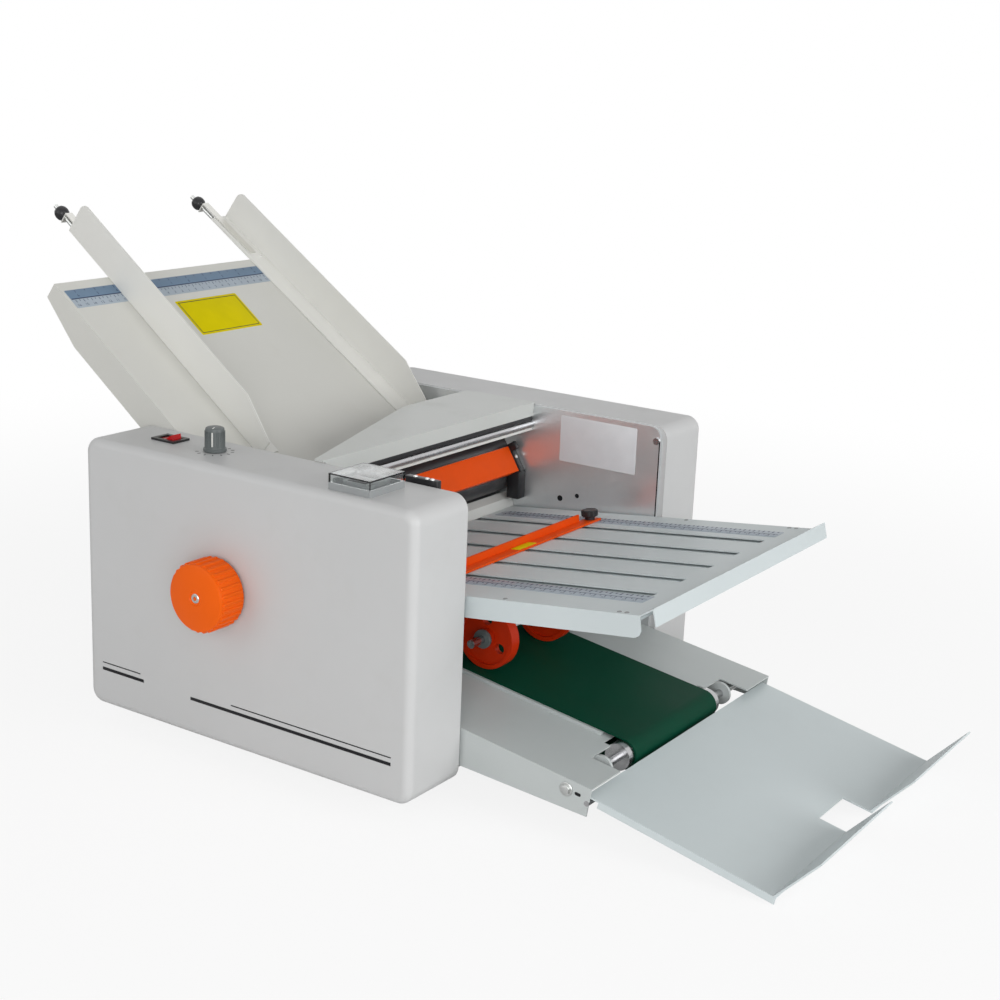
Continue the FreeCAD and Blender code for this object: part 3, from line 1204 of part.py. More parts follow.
def make_speed_knob():
    x, y = "rear_x + speed_place", "-speed_center"
    parts = [
        cylinder("speed_flange", "speed_radius + 3", "3", (x, y, "housing_top + seat_gap"), along="z"),
        cone("speed_grip", "speed_radius + 0.5", "speed_radius - 0.5", "speed_height - 3",
             (x, y, "housing_top + seat_gap + 3")),
        cylinder("speed_shaft", "3", "14", (x, y, "housing_top - 13"), along="z"),
    ]
    return node(fuse("speed_knob", parts), "speed_knob")


make_speed_knob()


def make_counter():
    x, y = "(rear_x + counter_place - counter_length / 2)", "(-counter_center - counter_width / 2)"
    base = box("counter_block", ("counter_length", "counter_width", "counter_base_height"),
               (x, y, "housing_top"))
    well = box("counter_well", ("counter_length - 4", "counter_width - 4", "counter_base_height"),
               (f"{x} + 2", f"{y} + 2", "housing_top + 2"))
    module = box("counter_module", ("26", "30", "counter_base_height + 2"),
                 (f"{x} + 9", f"{y} + 8", "housing_top"))
    shell = cut("counter_tray", base, [well])
    level = "housing_top + counter_base_height + seat_gap / 2"
    hinge_x = f"{x} - lid_hinge_set"
    pin = cylinder("lid_pin", "lid_pin_radius", "2 * (lid_knuckle_half + lid_ear)",
                   (hinge_x, "-counter_center - lid_knuckle_half - lid_ear", level))
    ears = []
    for word, low_y in (("near", "-counter_center - lid_knuckle_half - lid_ear"),
                        ("far", "-counter_center + lid_knuckle_half + seat_gap")):
        width = "lid_ear - seat_gap"
        ears.append(cylinder(f"{word}_ear_round", "lid_knuckle_radius", width, (hinge_x, low_y, level)))
        ears.append(box(f"{word}_ear_post", ("2 * lid_knuckle_radius", width, "counter_base_height"),
                        (f"{hinge_x} - lid_knuckle_radius", low_y, "housing_top")))
        ears.append(box(f"{word}_ear_web", ("lid_hinge_set + 1", width, "counter_base_height - 1"),
                        (hinge_x, low_y, "housing_top")))
    node(fuse("counter_base", [shell, module, pin] + ears), "counter_base")
    lid = box("lid_block", ("counter_length", "counter_width", "counter_lid_height"), (x, y, level))
    hollow = box("lid_hollow", ("counter_length - 3", "counter_width - 3", "counter_lid_height"),
                 (f"{x} + 1.5", f"{y} + 1.5", f"{level} - 1.5"))
    knuckle = cylinder("lid_knuckle", "lid_knuckle_radius", "2 * lid_knuckle_half",
                       (hinge_x, "-counter_center - lid_knuckle_half", level))
    leaf = box("lid_leaf", ("lid_hinge_set + 0.5", "2 * lid_knuckle_half", "1.5"),
               (hinge_x, "-counter_center - lid_knuckle_half", level))
    bore = cylinder("lid_bore", "lid_pin_radius + shaft_gap", "2 * lid_knuckle_half + 4",
                    (hinge_x, "-counter_center - lid_knuckle_half - 2", level))
    shell = fuse("lid_blank", [cut("lid_shell", lid, [hollow]), knuckle, leaf])
    node(cut("counter_lid", shell, [bore]), "counter_lid")


make_counter()


def make_inlet():
    y = "(-gap_half - housing_width / 2)"
    flange = box("inlet_flange", ("2", "inlet_width", "inlet_tall"),
                 ("rear_x - 2", f"{y} - inlet_width / 2", "inlet_height - inlet_tall / 2"))
    body = box("inlet_body", ("24", "inlet_width - 8.6", "inlet_tall - 6.6"),
               ("rear_x - 1", f"{y} - inlet_width / 2 + 4.3", "inlet_height - inlet_tall / 2 + 3.3"))
    socket = box("inlet_socket", ("16", "24", "16"), ("rear_x - 3", f"{y} - 12", "inlet_height - 8"))
    pins = [
        box(f"inlet_pin_{n}", ("12", "2", "5"),
            ("rear_x", f"{y} + {7 * (n - 1)} - 1", f"inlet_height - 2.5 + {3 if n == 1 else -2}"))
        for n in range(3)
    ]
    shell = cut("inlet_shell", fuse("inlet_blank", [flange, body]), [socket])
    return node(fuse("power_inlet", [shell] + [
        fuse(f"inlet_blade_{n}", [pin, box(f"inlet_root_{n}", ("6", "2", "5"),
             ("rear_x + 10", f"{y} + {7 * (n - 1)} - 1", f"inlet_height - 2.5 + {3 if n == 1 else -2}"))])
        for n, pin in enumerate(pins)
    ]), "power_inlet")


make_inlet()

SCREW_PLACES = (
    ("housing_length / 2 - 10", "housing_top - 15"),
    ("housing_length / 2 - 10", "foot_height + 100"),
    ("-housing_length / 2 + 14", "foot_height + 150"),
    ("-housing_length / 2 + 14", "foot_height + 60"),
)
screws = []
for number, (x, z) in enumerate(SCREW_PLACES):
    for word, low_y in (("near", "-inner_half"), ("far", "inner_half - screw_head")):
        screws.append(cylinder(f"{word}_screw_{number}", "screw_radius", "screw_head", (x, low_y, z)))
node(group("frame_screws", screws), "frame_screws")


# ---------------------------------------------------------------- checking and writing

def main():
    doc.recompute()
    failed = [item.Label for item in doc.Objects if "Invalid" in item.State or "Error" in item.State]
    for item in NODES:
        shape = item.Shape
        if shape.isNull() or not shape.isValid() or not shape.Solids:
            failed.append(item.Label)
    if failed:
        raise SystemExit("these pieces failed: " + ", ".join(failed))
    os.makedirs("parts", exist_ok=True)
    for item in NODES:
        item.Shape.exportStep(f"parts/{item.Label}.step")
        print(f"{item.Label}: {len(item.Shape.Solids)} solid(s), {item.Shape.Volume / 1000:.1f} cm3")
    print(len(NODES), "nodes")


main()
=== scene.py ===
"""The looks of a desktop paper folding machine: finishes, trims, small fittings, light and camera."""

import json
import math

import bmesh
import bpy
from mathutils import Euler, Matrix, Vector

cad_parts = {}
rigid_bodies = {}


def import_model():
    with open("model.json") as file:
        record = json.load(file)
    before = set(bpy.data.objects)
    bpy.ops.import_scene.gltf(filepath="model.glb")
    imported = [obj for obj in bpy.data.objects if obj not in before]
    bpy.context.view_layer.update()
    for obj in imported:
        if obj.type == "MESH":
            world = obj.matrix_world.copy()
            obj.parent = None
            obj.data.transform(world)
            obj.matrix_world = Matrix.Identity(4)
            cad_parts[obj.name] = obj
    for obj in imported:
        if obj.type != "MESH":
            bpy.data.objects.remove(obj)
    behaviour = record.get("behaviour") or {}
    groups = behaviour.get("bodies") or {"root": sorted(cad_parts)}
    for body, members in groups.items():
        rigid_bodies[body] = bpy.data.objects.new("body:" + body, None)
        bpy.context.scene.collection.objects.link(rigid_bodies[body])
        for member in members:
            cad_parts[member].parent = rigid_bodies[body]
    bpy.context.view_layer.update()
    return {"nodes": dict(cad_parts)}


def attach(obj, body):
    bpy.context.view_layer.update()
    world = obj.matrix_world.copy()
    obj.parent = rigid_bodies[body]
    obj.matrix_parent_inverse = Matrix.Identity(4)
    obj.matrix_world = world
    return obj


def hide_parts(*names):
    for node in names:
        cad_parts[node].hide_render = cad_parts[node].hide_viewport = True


for left_over in list(bpy.data.objects):
    bpy.data.objects.remove(left_over)
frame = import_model()

MM = Matrix.Scale(0.001, 4)
CORNER_STEPS = 5     # facets in the rounded corner of a sheet
RIM_ANGLE = 0.9      # radians between two faces, from which their edge is a rim
LEVEL = 1e-6         # how far from level a rim may run
SAME_PLACE = 1e-4    # points closer than this are one point
SHARP_ANGLE = 32     # degrees, from which an edge is shown sharp
FIGURE_LIFT = 0.05   # how far figures stand out


# ---------------------------------------------------------------- forms, in millimetres

def seat(x, y, z, turn_x=0.0, turn_y=0.0, turn_z=0.0):
    """A place on the machine, with its turns in degrees."""
    turns = Euler([math.radians(angle) for angle in (turn_x, turn_y, turn_z)])
    return Matrix.Translation((x, y, z)) @ turns.to_matrix().to_4x4()


FEED_TRAY = seat(-310, 0, 398, turn_y=36.5)
FOLD_PLATE = seat(0.04, 0, 164.61, turn_y=-7.1)
TABLE = seat(322.04, 0, 49.9, turn_y=8.13)
GUARD = seat(10, 0, 232.03, turn_y=58)
NEAR_GUIDE = FEED_TRAY @ seat(0, -98.5, 0)
FAR_GUIDE = FEED_TRAY @ seat(0.75, 136.8, 0, turn_z=4.4)


def rectangle(x_low, y_low, x_high, y_high):
    """The outline of a rectangle in XY."""
    return (x_low, y_low), (x_high, y_low), (x_high, y_high), (x_low, y_high)


def ease(bm, edges, width, steps=2):
    """Rounds edges."""
    bmesh.ops.bevel(bm, geom=list(edges), offset=width, offset_type="OFFSET", segments=steps,
                    profile=0.5, affect="EDGES", material=-1, clamp_overlap=True)


def add_block(bm, size, centre, rounding=0.0, steps=2, place=Matrix()):
    """One block of the given size, its edges rounded."""
    part = bmesh.new()
    bmesh.ops.create_cube(part, size=1)
    bmesh.ops.scale(part, vec=size, verts=part.verts)
    if rounding:
        ease(part, part.edges, rounding, steps)
    part.transform(place @ Matrix.Translation(centre))
    return join(bm, part)


def join(bm, part):
    """Adds one made form to another."""
    holder = bpy.data.meshes.new("form")
    part.to_mesh(holder)
    part.free()
    bm.from_mesh(holder)
    bpy.data.meshes.remove(holder)
    return bm


def add_sheet(bm, points, thickness, corner=0.0, rounding=0.0, place=Matrix()):
    """A flat outline in XY raised to a thickness; its corners and its edges are rounded."""
    part = bmesh.new()
    face = part.faces.new([part.verts.new((x, y, 0)) for x, y in points])
    if corner:
        bmesh.ops.bevel(part, geom=list(part.verts), offset=corner, segments=CORNER_STEPS,
                        profile=0.5, affect="VERTICES", material=-1)
        face = part.faces[:][0]
    raised = bmesh.ops.extrude_face_region(part, geom=[face])
    top = [item for item in raised["geom"] if isinstance(item, bmesh.types.BMVert)]
    bmesh.ops.translate(part, verts=top, vec=(0, 0, thickness))
    bmesh.ops.recalc_face_normals(part, faces=part.faces)
    if rounding:
        rims = [edge for edge in part.edges if edge.calc_face_angle(0) > RIM_ANGLE
                and abs(edge.verts[0].co.z - edge.verts[1].co.z) < LEVEL]
        ease(part, rims, rounding)
    part.transform(place)
    return join(bm, part)


def add_turned(bm, profile, place=Matrix(), steps=32):
    """A profile of (radius, height) turned once round Z."""
    part = bmesh.new()
    chain = [part.verts.new((radius, 0, height)) for radius, height in profile]
    edges = [part.edges.new(pair) for pair in zip(chain, chain[1:])]
    bmesh.ops.spin(part, geom=chain + edges, cent=(0, 0, 0), axis=(0, 0, 1),
                   angle=math.tau, steps=steps, use_merge=True)
    bmesh.ops.remove_doubles(part, verts=part.verts, dist=SAME_PLACE)
    bmesh.ops.recalc_face_normals(part, faces=part.faces)
    part.transform(place)
    return join(bm, part)


def add_ribs(bm, count, size, radius, height, rounding=0.3):
    """Blocks set evenly round Z, for a grip."""
    for number in range(count):
        turned = seat(0, 0, 0, turn_z=360 * number / count)
        add_block(bm, size, (radius, 0, height), rounding, 1, turned)
    return bm


def add_prism(bm, sides, radius, low, high, rounding=0.3, place=Matrix()):
    """A straight form with flat sides, such as a nut."""
    part = bmesh.new()
    bmesh.ops.create_cone(part, cap_ends=True, segments=sides, radius1=radius, radius2=radius,
                          depth=high - low)
    ease(part, part.edges, rounding)
    part.transform(place @ Matrix.Translation((0, 0, (low + high) / 2)))
    return join(bm, part)


def add_figures(bm, words, height, place):
    """Plain figures, raised a little."""
    curve = bpy.data.curves.new("figures", "FONT")
    curve.body, curve.size = words, height
    curve.align_x, curve.align_y = "CENTER", "CENTER"
    curve.extrude, curve.resolution_u = FIGURE_LIFT, 2
    holder = bpy.data.objects.new("figures", curve)
    bpy.context.collection.objects.link(holder)
    bpy.context.view_layer.update()
    mesh = bpy.data.meshes.new_from_object(holder)
    bpy.data.objects.remove(holder)
    bpy.data.curves.remove(curve)
    part = bmesh.new()
    part.from_mesh(mesh)
    bpy.data.meshes.remove(mesh)
    part.transform(place)
    return join(bm, part)


def piece(name, bm, finish, body, place=Matrix(), stands_for=()):
    """Puts a made form on the machine, in metres, and lets it ride on its body."""
    bm.transform(MM @ place)
    mesh = bpy.data.meshes.new(name)
    bm.to_mesh(mesh)
    bm.free()
    mesh.materials.append(finish)
    mesh.shade_smooth()
    mesh.set_sharp_from_angle(angle=math.radians(SHARP_ANGLE))
    made = bpy.data.objects.new(name, mesh)
    bpy.context.collection.objects.link(made)
    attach(made, body)
    if stands_for:
        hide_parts(*stands_for)
    return made


# ---------------------------------------------------------------- finishes

class Value:
    """One shader value. Arithmetic on it adds the Math nodes."""

    def __init__(self, finish, socket):
        self.finish, self.socket = finish, socket

    def worked(self, operation, *values):
        """A Math node on these values."""
        return self.finish.node("Math", {"operation": operation}, dict(enumerate(values)))

    def __add__(self, other):
        return self.worked("ADD", self, other)

    def __mul__(self, other):
        return self.worked("MULTIPLY", self, other)

    def __sub__(self, other):
        return self.worked("SUBTRACT", self, other)

    def __rsub__(self, other):
        return self.worked("SUBTRACT", other, self)

    __radd__, __rmul__ = __add__, __mul__

    def between(self, low, high):
        """Rises smoothly from 0 at low to 1 at high."""
        return self.finish.node("MapRange", {"interpolation_type": "SMOOTHSTEP"},
                                {"Value": self, "From Min": low, "From Max": high})


class Finish:
    """A material round one Principled shader; its constants go on the shader's own sockets."""

    def __init__(self, name, **constants):
        self.material = bpy.data.materials.new(name)
        self.material.use_nodes = True
        self.tree = self.material.node_tree
        self.tree.nodes.clear()
        self.shader = self.tree.nodes.new("ShaderNodeBsdfPrincipled")
        self.output = self.tree.nodes.new("ShaderNodeOutputMaterial")
        self.tree.links.new(self.shader.outputs[0], self.output.inputs["Surface"])
        for socket, value in constants.items():
            self.shader.inputs[socket.replace("_", " ")].default_value = value
        self.object_place = self.node("TexCoord", {}, {}, "Object")
        self.height = None

    def node(self, kind, settings=None, sockets=None, output=0):
        """Any node: its settings first, then the values or links of its sockets."""
        made = self.tree.nodes.new("ShaderNode" + kind)
        for key, value in (settings or {}).items():
            setattr(made, key, value)
        for key, value in (sockets or {}).items():
            if isinstance(value, Value):
                self.tree.links.new(value.socket, made.inputs[key])
            else:
                made.inputs[key].default_value = value
        return Value(self, made.outputs[output])

    def spot(self, turn=(0, 0, 0), stretch=(1, 1, 1)):
        """Object coordinates in metres, turned or stretched."""
        return self.node("Mapping", {}, {
            "Vector": self.object_place,
            "Rotation": [math.radians(angle) for angle in turn], "Scale": stretch})

    def noise(self, grain, detail=2.0, stretch=(1, 1, 1), turn=(0, 0, 0), rough=0.5):
        """Clouds whose grain is in millimetres."""
        return self.node("TexNoise", {"noise_dimensions": "3D"}, {
            "Vector": self.spot(stretch=stretch, turn=turn), "Scale": 1000 / grain,
            "Detail": detail, "Roughness": rough})

    def cells(self, grain):
        """Pits whose grain is in millimetres."""
        return self.node("TexVoronoi", {"feature": "F1"}, {"Vector": self.spot(), "Scale": 1000 / grain})

    def mixed(self, share, first, second):
        """The first colour, with a share of the second."""
        colours = [c if isinstance(c, Value) else (*c, 1.0) for c in (first, second)]
        return self.node("Mix", {"data_type": "RGBA"}, {0: share, 6: colours[0], 7: colours[1]}, 2)

    def bumped(self, height, depth, strength=1.0):
        """Adds a height, in millimetres of depth, to what the surface already has."""
        sockets = {"Height": height, "Distance": depth * 0.001, "Strength": strength}
        if self.height:
            sockets["Normal"] = self.height
        self.height = self.node("Bump", {}, sockets)
        return self

    def done(self, **sockets):
        """Links what varies over the surface, and gives the material."""
        if self.height:
            sockets["Normal"] = self.height
        for key, value in sockets.items():
            self.tree.links.new(value.socket, self.shader.inputs[key.replace("_", " ")])
        return self.material


def scaled(colour, factor):
    """A colour made lighter or darker."""
    return tuple(min(1.0, part * factor) for part in colour)


def sheet_paint(name, colour, rough=0.4, grime=0.10):
    """Baked enamel on sheet steel: a little orange peel, faint clouding, rubbed and dusty spots."""
    paint = Finish(name, Coat_Weight=0.06, Coat_Roughness=0.3, Specular_IOR_Level=0.4)
    cloud = paint.noise(150, 3)
    mottle = paint.noise(22, 4)
    dust = paint.noise(55, 5, rough=0.65).between(0.52, 0.78)
    speck = paint.noise(1.6, 2).between(0.70, 0.80)
    warmth = 0.005
    light = scaled((colour[0] * (1 + warmth), colour[1], colour[2]), 1.045)
    base = paint.mixed(cloud, scaled(colour, 0.955), light)
    base = paint.mixed(mottle * 0.35, base, scaled(colour, 0.96))
    base = paint.mixed(dust * grime, base, scaled((colour[0], colour[1] * 0.97, colour[2] * 0.90), 0.80))
    base = paint.mixed(speck * 0.10, base, scaled(colour, 0.72))
    gloss = cloud * 0.10 + mottle * 0.06 + dust * 0.12 + (rough - 0.10)
    paint.bumped(paint.noise(3.2, 2), 0.035, 0.5)
    paint.bumped(paint.noise(0.7, 1), 0.012, 0.45)
    return paint.done(Base_Color=base, Roughness=gloss)


def rolled_steel(name, colour, rough, along=(1, 30, 30), turn=(0, 0, 0), marks=0.12, bare=1.0):
    """Bare metal with a drawn grain, handling marks and a few fine scratches."""
    metal = Finish(name, Metallic=bare, IOR=1.9)
    grain = metal.noise(9, 4, stretch=along, turn=turn, rough=0.7)
    cloud = metal.noise(60, 3)
    smear = metal.noise(14, 5, rough=0.7).between(0.5, 0.75)
    rubs = tuple(part * 0.6 for part in (along[2], along[0], along[1]))
    scratch = metal.noise(2.4, 1, stretch=rubs).between(0.74, 0.78)
    base = metal.mixed(cloud, scaled(colour, 0.92), scaled(colour, 1.06))
    base = metal.mixed(smear * marks, base, scaled((colour[0], colour[1] * 0.97, colour[2] * 0.92), 0.7))
    gloss = grain * 0.14 + smear * 0.14 + scratch * 0.15 + (rough - 0.08)
    metal.bumped(grain, 0.02, 0.5)
    return metal.done(Base_Color=base, Roughness=gloss)


def moulded(name, colour, rough=0.42, depth=0.03, scuff=0.18, coat=0.0, shine=0.35):
    """Moulded plastic or rubber with a fine grain and scuffed patches."""
    plastic = Finish(name, Coat_Weight=coat, Coat_Roughness=0.2, Specular_IOR_Level=shine)
    cloud = plastic.noise(40, 3)
    scuffs = plastic.noise(9, 5, rough=0.7).between(0.55, 0.75)
    pits = plastic.cells(grain=1.1)
    base = plastic.mixed(cloud, scaled(colour, 0.9), scaled(colour, 1.08))
    base = plastic.mixed(scuffs * scuff, base, tuple(part * 0.8 + 0.05 for part in colour))
    gloss = cloud * 0.08 + scuffs * 0.16 + (rough - 0.08)
    plastic.bumped(pits, depth, 0.5)
    plastic.bumped(plastic.noise(5, 2), 0.05, 0.3)
    return plastic.done(Base_Color=base, Roughness=gloss)


def orange_lacquer(name, colour, rough):
    """Orange sprayed metal: brighter and duller clouds, small chips and rubbed lines."""
    lacquer = Finish(name, Specular_IOR_Level=0.12)
    cloud = lacquer.noise(35, 3)
    rubbed = lacquer.noise(6, 5, stretch=(3, 0.6, 3), rough=0.7).between(0.6, 0.74)
    chips = lacquer.noise(3.0, 3).between(0.76, 0.79)
    base = lacquer.mixed(cloud, scaled(colour, 0.88), scaled(colour, 1.08))
    base = lacquer.mixed(rubbed * 0.22, base, scaled(colour, 0.72))
    base = lacquer.mixed(chips * 0.5, base, (0.10, 0.06, 0.04))
    lacquer.bumped(lacquer.noise(2.6, 2), 0.04, 0.5)
    lacquer.bumped(1 - chips, 0.03, 0.6)
    return lacquer.done(Base_Color=base, Roughness=cloud * 0.12 + rubbed * 0.15 + (rough - 0.06))


def belting():
    """Green conveyor belting: a fine weave pressed into the top, polished lanes where paper runs."""
    belt = Finish("green_belting", Specular_IOR_Level=0.07)
    lanes = belt.noise(26, 3, stretch=(0.12, 1, 0.12))
    cloud = belt.noise(70, 4)
    lint = belt.noise(1.3, 3).between(0.70, 0.78)
    across, along = (
        belt.node("TexWave", {"wave_type": "BANDS", "bands_direction": way},
                  {"Vector": belt.spot(), "Scale": 420.0, "Distortion": 0.6, "Detail": 1.0})
        for way in "YX")
    base = belt.mixed(cloud, (0.0005, 0.030, 0.015), (0.001, 0.052, 0.027))
    base = belt.mixed(lanes * 0.4, base, (0.001, 0.068, 0.036))
    base = belt.mixed(lint * 0.12, base, (0.04, 0.12, 0.08))
    belt.bumped(across * along, 0.05, 0.5)
    belt.bumped(cloud, 0.3, 0.3)
    return belt.done(Base_Color=base, Roughness=lanes * 0.16 + cloud * 0.12 + 0.36)


def pressed_rubber(name, colour, rough):
    """Ground rubber for rollers and feet, with grinding rings and paper dust."""
    rubber = Finish(name, IOR=1.5)
    rings = rubber.noise(2.2, 3, stretch=(0.2, 3, 0.2))
    dust = rubber.noise(24, 5, rough=0.7).between(0.5, 0.72)
    base = rubber.mixed(rings, scaled(colour, 0.8), scaled(colour, 1.3))
    base = rubber.mixed(dust * 0.16, base, (0.30, 0.29, 0.27))
    rubber.bumped(rings, 0.05, 0.5)
    rubber.bumped(rubber.noise(0.8, 1), 0.03, 0.5)
    return rubber.done(Base_Color=base, Roughness=rings * 0.15 + dust * 0.2 + (rough - 0.05))


def clear_moulding():
    """Clear acrylic with faint haze and fine rub marks."""
    clear = Finish("clear_acrylic", Transmission_Weight=1.0, IOR=1.49)
    haze = clear.noise(12, 4)
    rub = clear.noise(3, 4, stretch=(0.4, 3, 1)).between(0.62, 0.75)
    clear.bumped(clear.noise(9, 2), 0.04, 0.3)
    return clear.done(Base_Color=clear.mixed(haze, (0.90, 0.93, 0.93), (0.97, 0.98, 0.98)),
                      Roughness=haze * 0.05 + rub * 0.15 + 0.02)


def printed(name, colour, rough=0.35, fade=0.25, shine=0.2):
    """Printed film or screen ink, unevenly laid and a little faded."""
    film = Finish(name, Specular_IOR_Level=shine)
    cloud = film.noise(18, 3)
    thin = film.noise(1.1, 3).between(0.62, 0.80)
    base = film.mixed(cloud, scaled(colour, 0.93), scaled(colour, 1.07))
    base = film.mixed(thin * fade, base, tuple(part * 0.75 + 0.16 for part in colour))
    film.bumped(thin, 0.01, 0.4)
    return film.done(Base_Color=base, Roughness=cloud * 0.1 + (rough - 0.05))


HOUSING_GREY = (0.595, 0.60, 0.60)
SHEET_CREAM = (0.67, 0.67, 0.63)
housing_paint = sheet_paint("housing_enamel", HOUSING_GREY, 0.42)
tray_paint = sheet_paint("tray_enamel", SHEET_CREAM, 0.40)
# The guides' cream is lighter than the tray's: painted light, for the light that falls on the guides.
lightened_guide_paint = sheet_paint("guide_enamel_painted_light", (0.79, 0.79, 0.755), 0.38, grime=0.05)
cover_paint = sheet_paint("cover_enamel", (0.60, 0.62, 0.60), 0.36)
plate_paint = sheet_paint("plate_enamel", (0.61, 0.67, 0.68), 0.42, grime=0.04)
# Table, frame and brackets are darker than the delivery tray's paint: painted shade, for the shade under the
# fold plate.
shaded_table_paint = sheet_paint("table_enamel_painted_shade", (0.54, 0.575, 0.57), 0.38)
# The delivery tray is lighter than the table's paint: painted light, for the light falling on the tray.
lightened_delivery_paint = sheet_paint("delivery_enamel_painted_light", (0.66, 0.725, 0.735), 0.38, grime=0.06)
side_steel = rolled_steel("side_plate_steel", (0.71, 0.73, 0.74), 0.32, along=(30, 30, 1), bare=0.72)
rod_steel = rolled_steel("rod_chrome", (0.50, 0.50, 0.51), 0.24, along=(30, 1, 30), marks=0.05)
bar_steel = rolled_steel("guide_bar_steel", (0.72, 0.715, 0.68), 0.44, along=(1, 30, 30), turn=(0, 36.5, 0))
zinc = rolled_steel("zinc_fittings", (0.62, 0.63, 0.62), 0.32, along=(12, 12, 12))
bronze = rolled_steel("bearing_bronze", (0.55, 0.38, 0.18), 0.35, along=(12, 12, 12))
orange_sheet = orange_lacquer("orange_lacquer", (0.82, 0.085, 0.004), 0.42)
orange_moulding = moulded("orange_moulding", (0.90, 0.125, 0.002), 0.42, scuff=0.03, shine=0.15)
red_wheel = moulded("red_wheel_moulding", (0.56, 0.028, 0.003), 0.38, scuff=0.06, shine=0.15)
dark_zinc = rolled_steel("dull_zinc_fittings", (0.26, 0.27, 0.27), 0.40, along=(12, 12, 12))
black_moulding = moulded("black_moulding", (0.018, 0.018, 0.020), 0.34)
grey_moulding = moulded("grey_moulding", (0.115, 0.13, 0.13), 0.42)
red_moulding = moulded("red_moulding", (0.50, 0.003, 0.006), 0.18, depth=0.01, scuff=0.02, coat=0.05,
                       shine=0.2)
white_moulding = moulded("white_moulding", (0.72, 0.72, 0.69), 0.40)
counter_moulding = moulded("counter_moulding", (0.32, 0.335, 0.34), 0.42)
motor_paint = sheet_paint("motor_enamel", (0.05, 0.06, 0.07), 0.45)
roller_rubber = pressed_rubber("roller_rubber", (0.030, 0.030, 0.033), 0.38)
foot_rubber = pressed_rubber("foot_rubber", (0.022, 0.022, 0.022), 0.6)
belt_rubber = pressed_rubber("drive_belt_rubber", (0.03, 0.03, 0.03), 0.55)
black_ink = printed("black_ink", (0.012, 0.012, 0.014), 0.30, 0.06)
blue_film = printed("ruler_blue_film", (0.155, 0.235, 0.335), 0.30, 0.15)
pale_film = printed("ruler_pale_film", (0.40, 0.46, 0.52), 0.30, 0.12)
blue_line = printed("blue_grey_ink", (0.028, 0.045, 0.10), 0.35, 0.08)
yellow_film = printed("yellow_film", (0.76, 0.64, 0.001), 0.5, 0.02, shine=0.05)
white_film = printed("white_film", (0.74, 0.75, 0.77), 0.30, 0.08)
green_belting = belting()
acrylic = clear_moulding()

FINISHES = {
    housing_paint: "near_housing far_housing",
    tray_paint: "feed_tray rear_fold_plate",
    lightened_guide_paint: "near_guide far_guide",
    cover_paint: "top_cover lower_guide_plate",
    plate_paint: "front_fold_plate",
    shaded_table_paint: "conveyor_frame roller_brackets",
    lightened_delivery_paint: "delivery_tray",
    side_steel: "near_side_plate far_side_plate base_pan",
    rod_steel: "tie_rods frame_screws belt_end_roller belt_drive_roller wheel_carrier",
    bar_steel: "near_guide_bar far_guide_bar",
    zinc: "main_gear upper_gear lower_gear exit_gear main_pulley feed_pulley motor_pulley tension_bolts",
    bronze: "roller_bearings",
    orange_sheet: "roller_guard front_stop_bar rear_stop_bar",
    orange_moulding: "hand_knob",
    red_wheel: "near_wheel far_wheel",
    black_moulding: "near_bar_knob far_bar_knob near_stop_knob far_stop_knob switch_bezel guard_brackets "
                    "power_inlet",
    grey_moulding: "speed_knob",
    red_moulding: "rocker_switch",
    white_moulding: "guide_strip",
    counter_moulding: "counter_base",
    motor_paint: "drive_motor",
    roller_rubber: "main_roller upper_roller lower_roller exit_roller feed_roller separator_block",
    foot_rubber: "rubber_feet",
    belt_rubber: "drive_belts",
    green_belting: "delivery_belt",
    acrylic: "counter_lid",
}
for finish, names in FINISHES.items():
    for name in names.split():
        for slot in frame["nodes"][name].material_slots:
            slot.material = finish


# ---------------------------------------------------------------- printed marks

INK = 0.1        # thickness of a printed line
ON_BAND = 0.28   # level of the lines on a ruler's film


def near_face_stripes():
    """The broken double line along the foot of the near housing."""
    face, depth, rounding = -245.1, 0.4, 0.12
    stripes = bmesh.new()
    for left, right, height, width in ((-171.5, -117.7, 57.5, 3), (-58.4, 171, 56, 3),
                                       (-171.3, -122, 63.7, 1), (-9, 171, 62, 1)):
        add_block(stripes, (right - left, depth, width), ((left + right) / 2, face, height), rounding)
    piece("near_face_stripes", stripes, black_ink, "frame")


def add_ruler_row(bm, last, pitch, width, long_tick, short_tick, figure):
    """Ticks counted out from the middle; every second one is long and has a figure.

    A tick is given as its length and its place down the tray, a figure as its height, place and level.
    """
    figure_height, figure_at, figure_level = figure
    for step in range(-last, last + 1):
        is_long = step % 2 == 0
        length, at = long_tick if is_long else short_tick
        add_block(bm, (length, width, INK), (at, pitch * step, ON_BAND))
        if is_long:
            add_figures(bm, str(abs(step) // 2), figure_height,
                        seat(figure_at, pitch * step, figure_level, turn_z=90))


def tray_ruler():
    """A pale film across the feed tray, its upper half blue, with a line between two rows of marks."""
    band = add_sheet(bmesh.new(), rectangle(10.7, -165, 35.2, 165), 0.25, 1.5, 0.08)
    piece("tray_ruler_band", band, pale_film, "frame", FEED_TRAY)
    upper = add_sheet(bmesh.new(), rectangle(11.2, -164.4, 22.4, 164.4), 0.12, 0.8, 0.03, seat(0, 0, 0.2))
    piece("tray_ruler_upper", upper, blue_film, "frame", FEED_TRAY)
    marks = add_block(bmesh.new(), (1.2, 328, 0.16), (23.0, 0, ON_BAND))
    add_ruler_row(marks, last=12, pitch=12.7, width=0.7, long_tick=(3.6, 13.2), short_tick=(2.4, 12.6),
                  figure=(4.6, 19.2, 0.32))
    add_ruler_row(marks, last=32, pitch=5, width=0.6, long_tick=(3.4, 26.2), short_tick=(2.0, 25.4),
                  figure=(4.4, 31.8, 0.22))
    piece("tray_ruler_marks", marks, blue_line, "frame", FEED_TRAY)


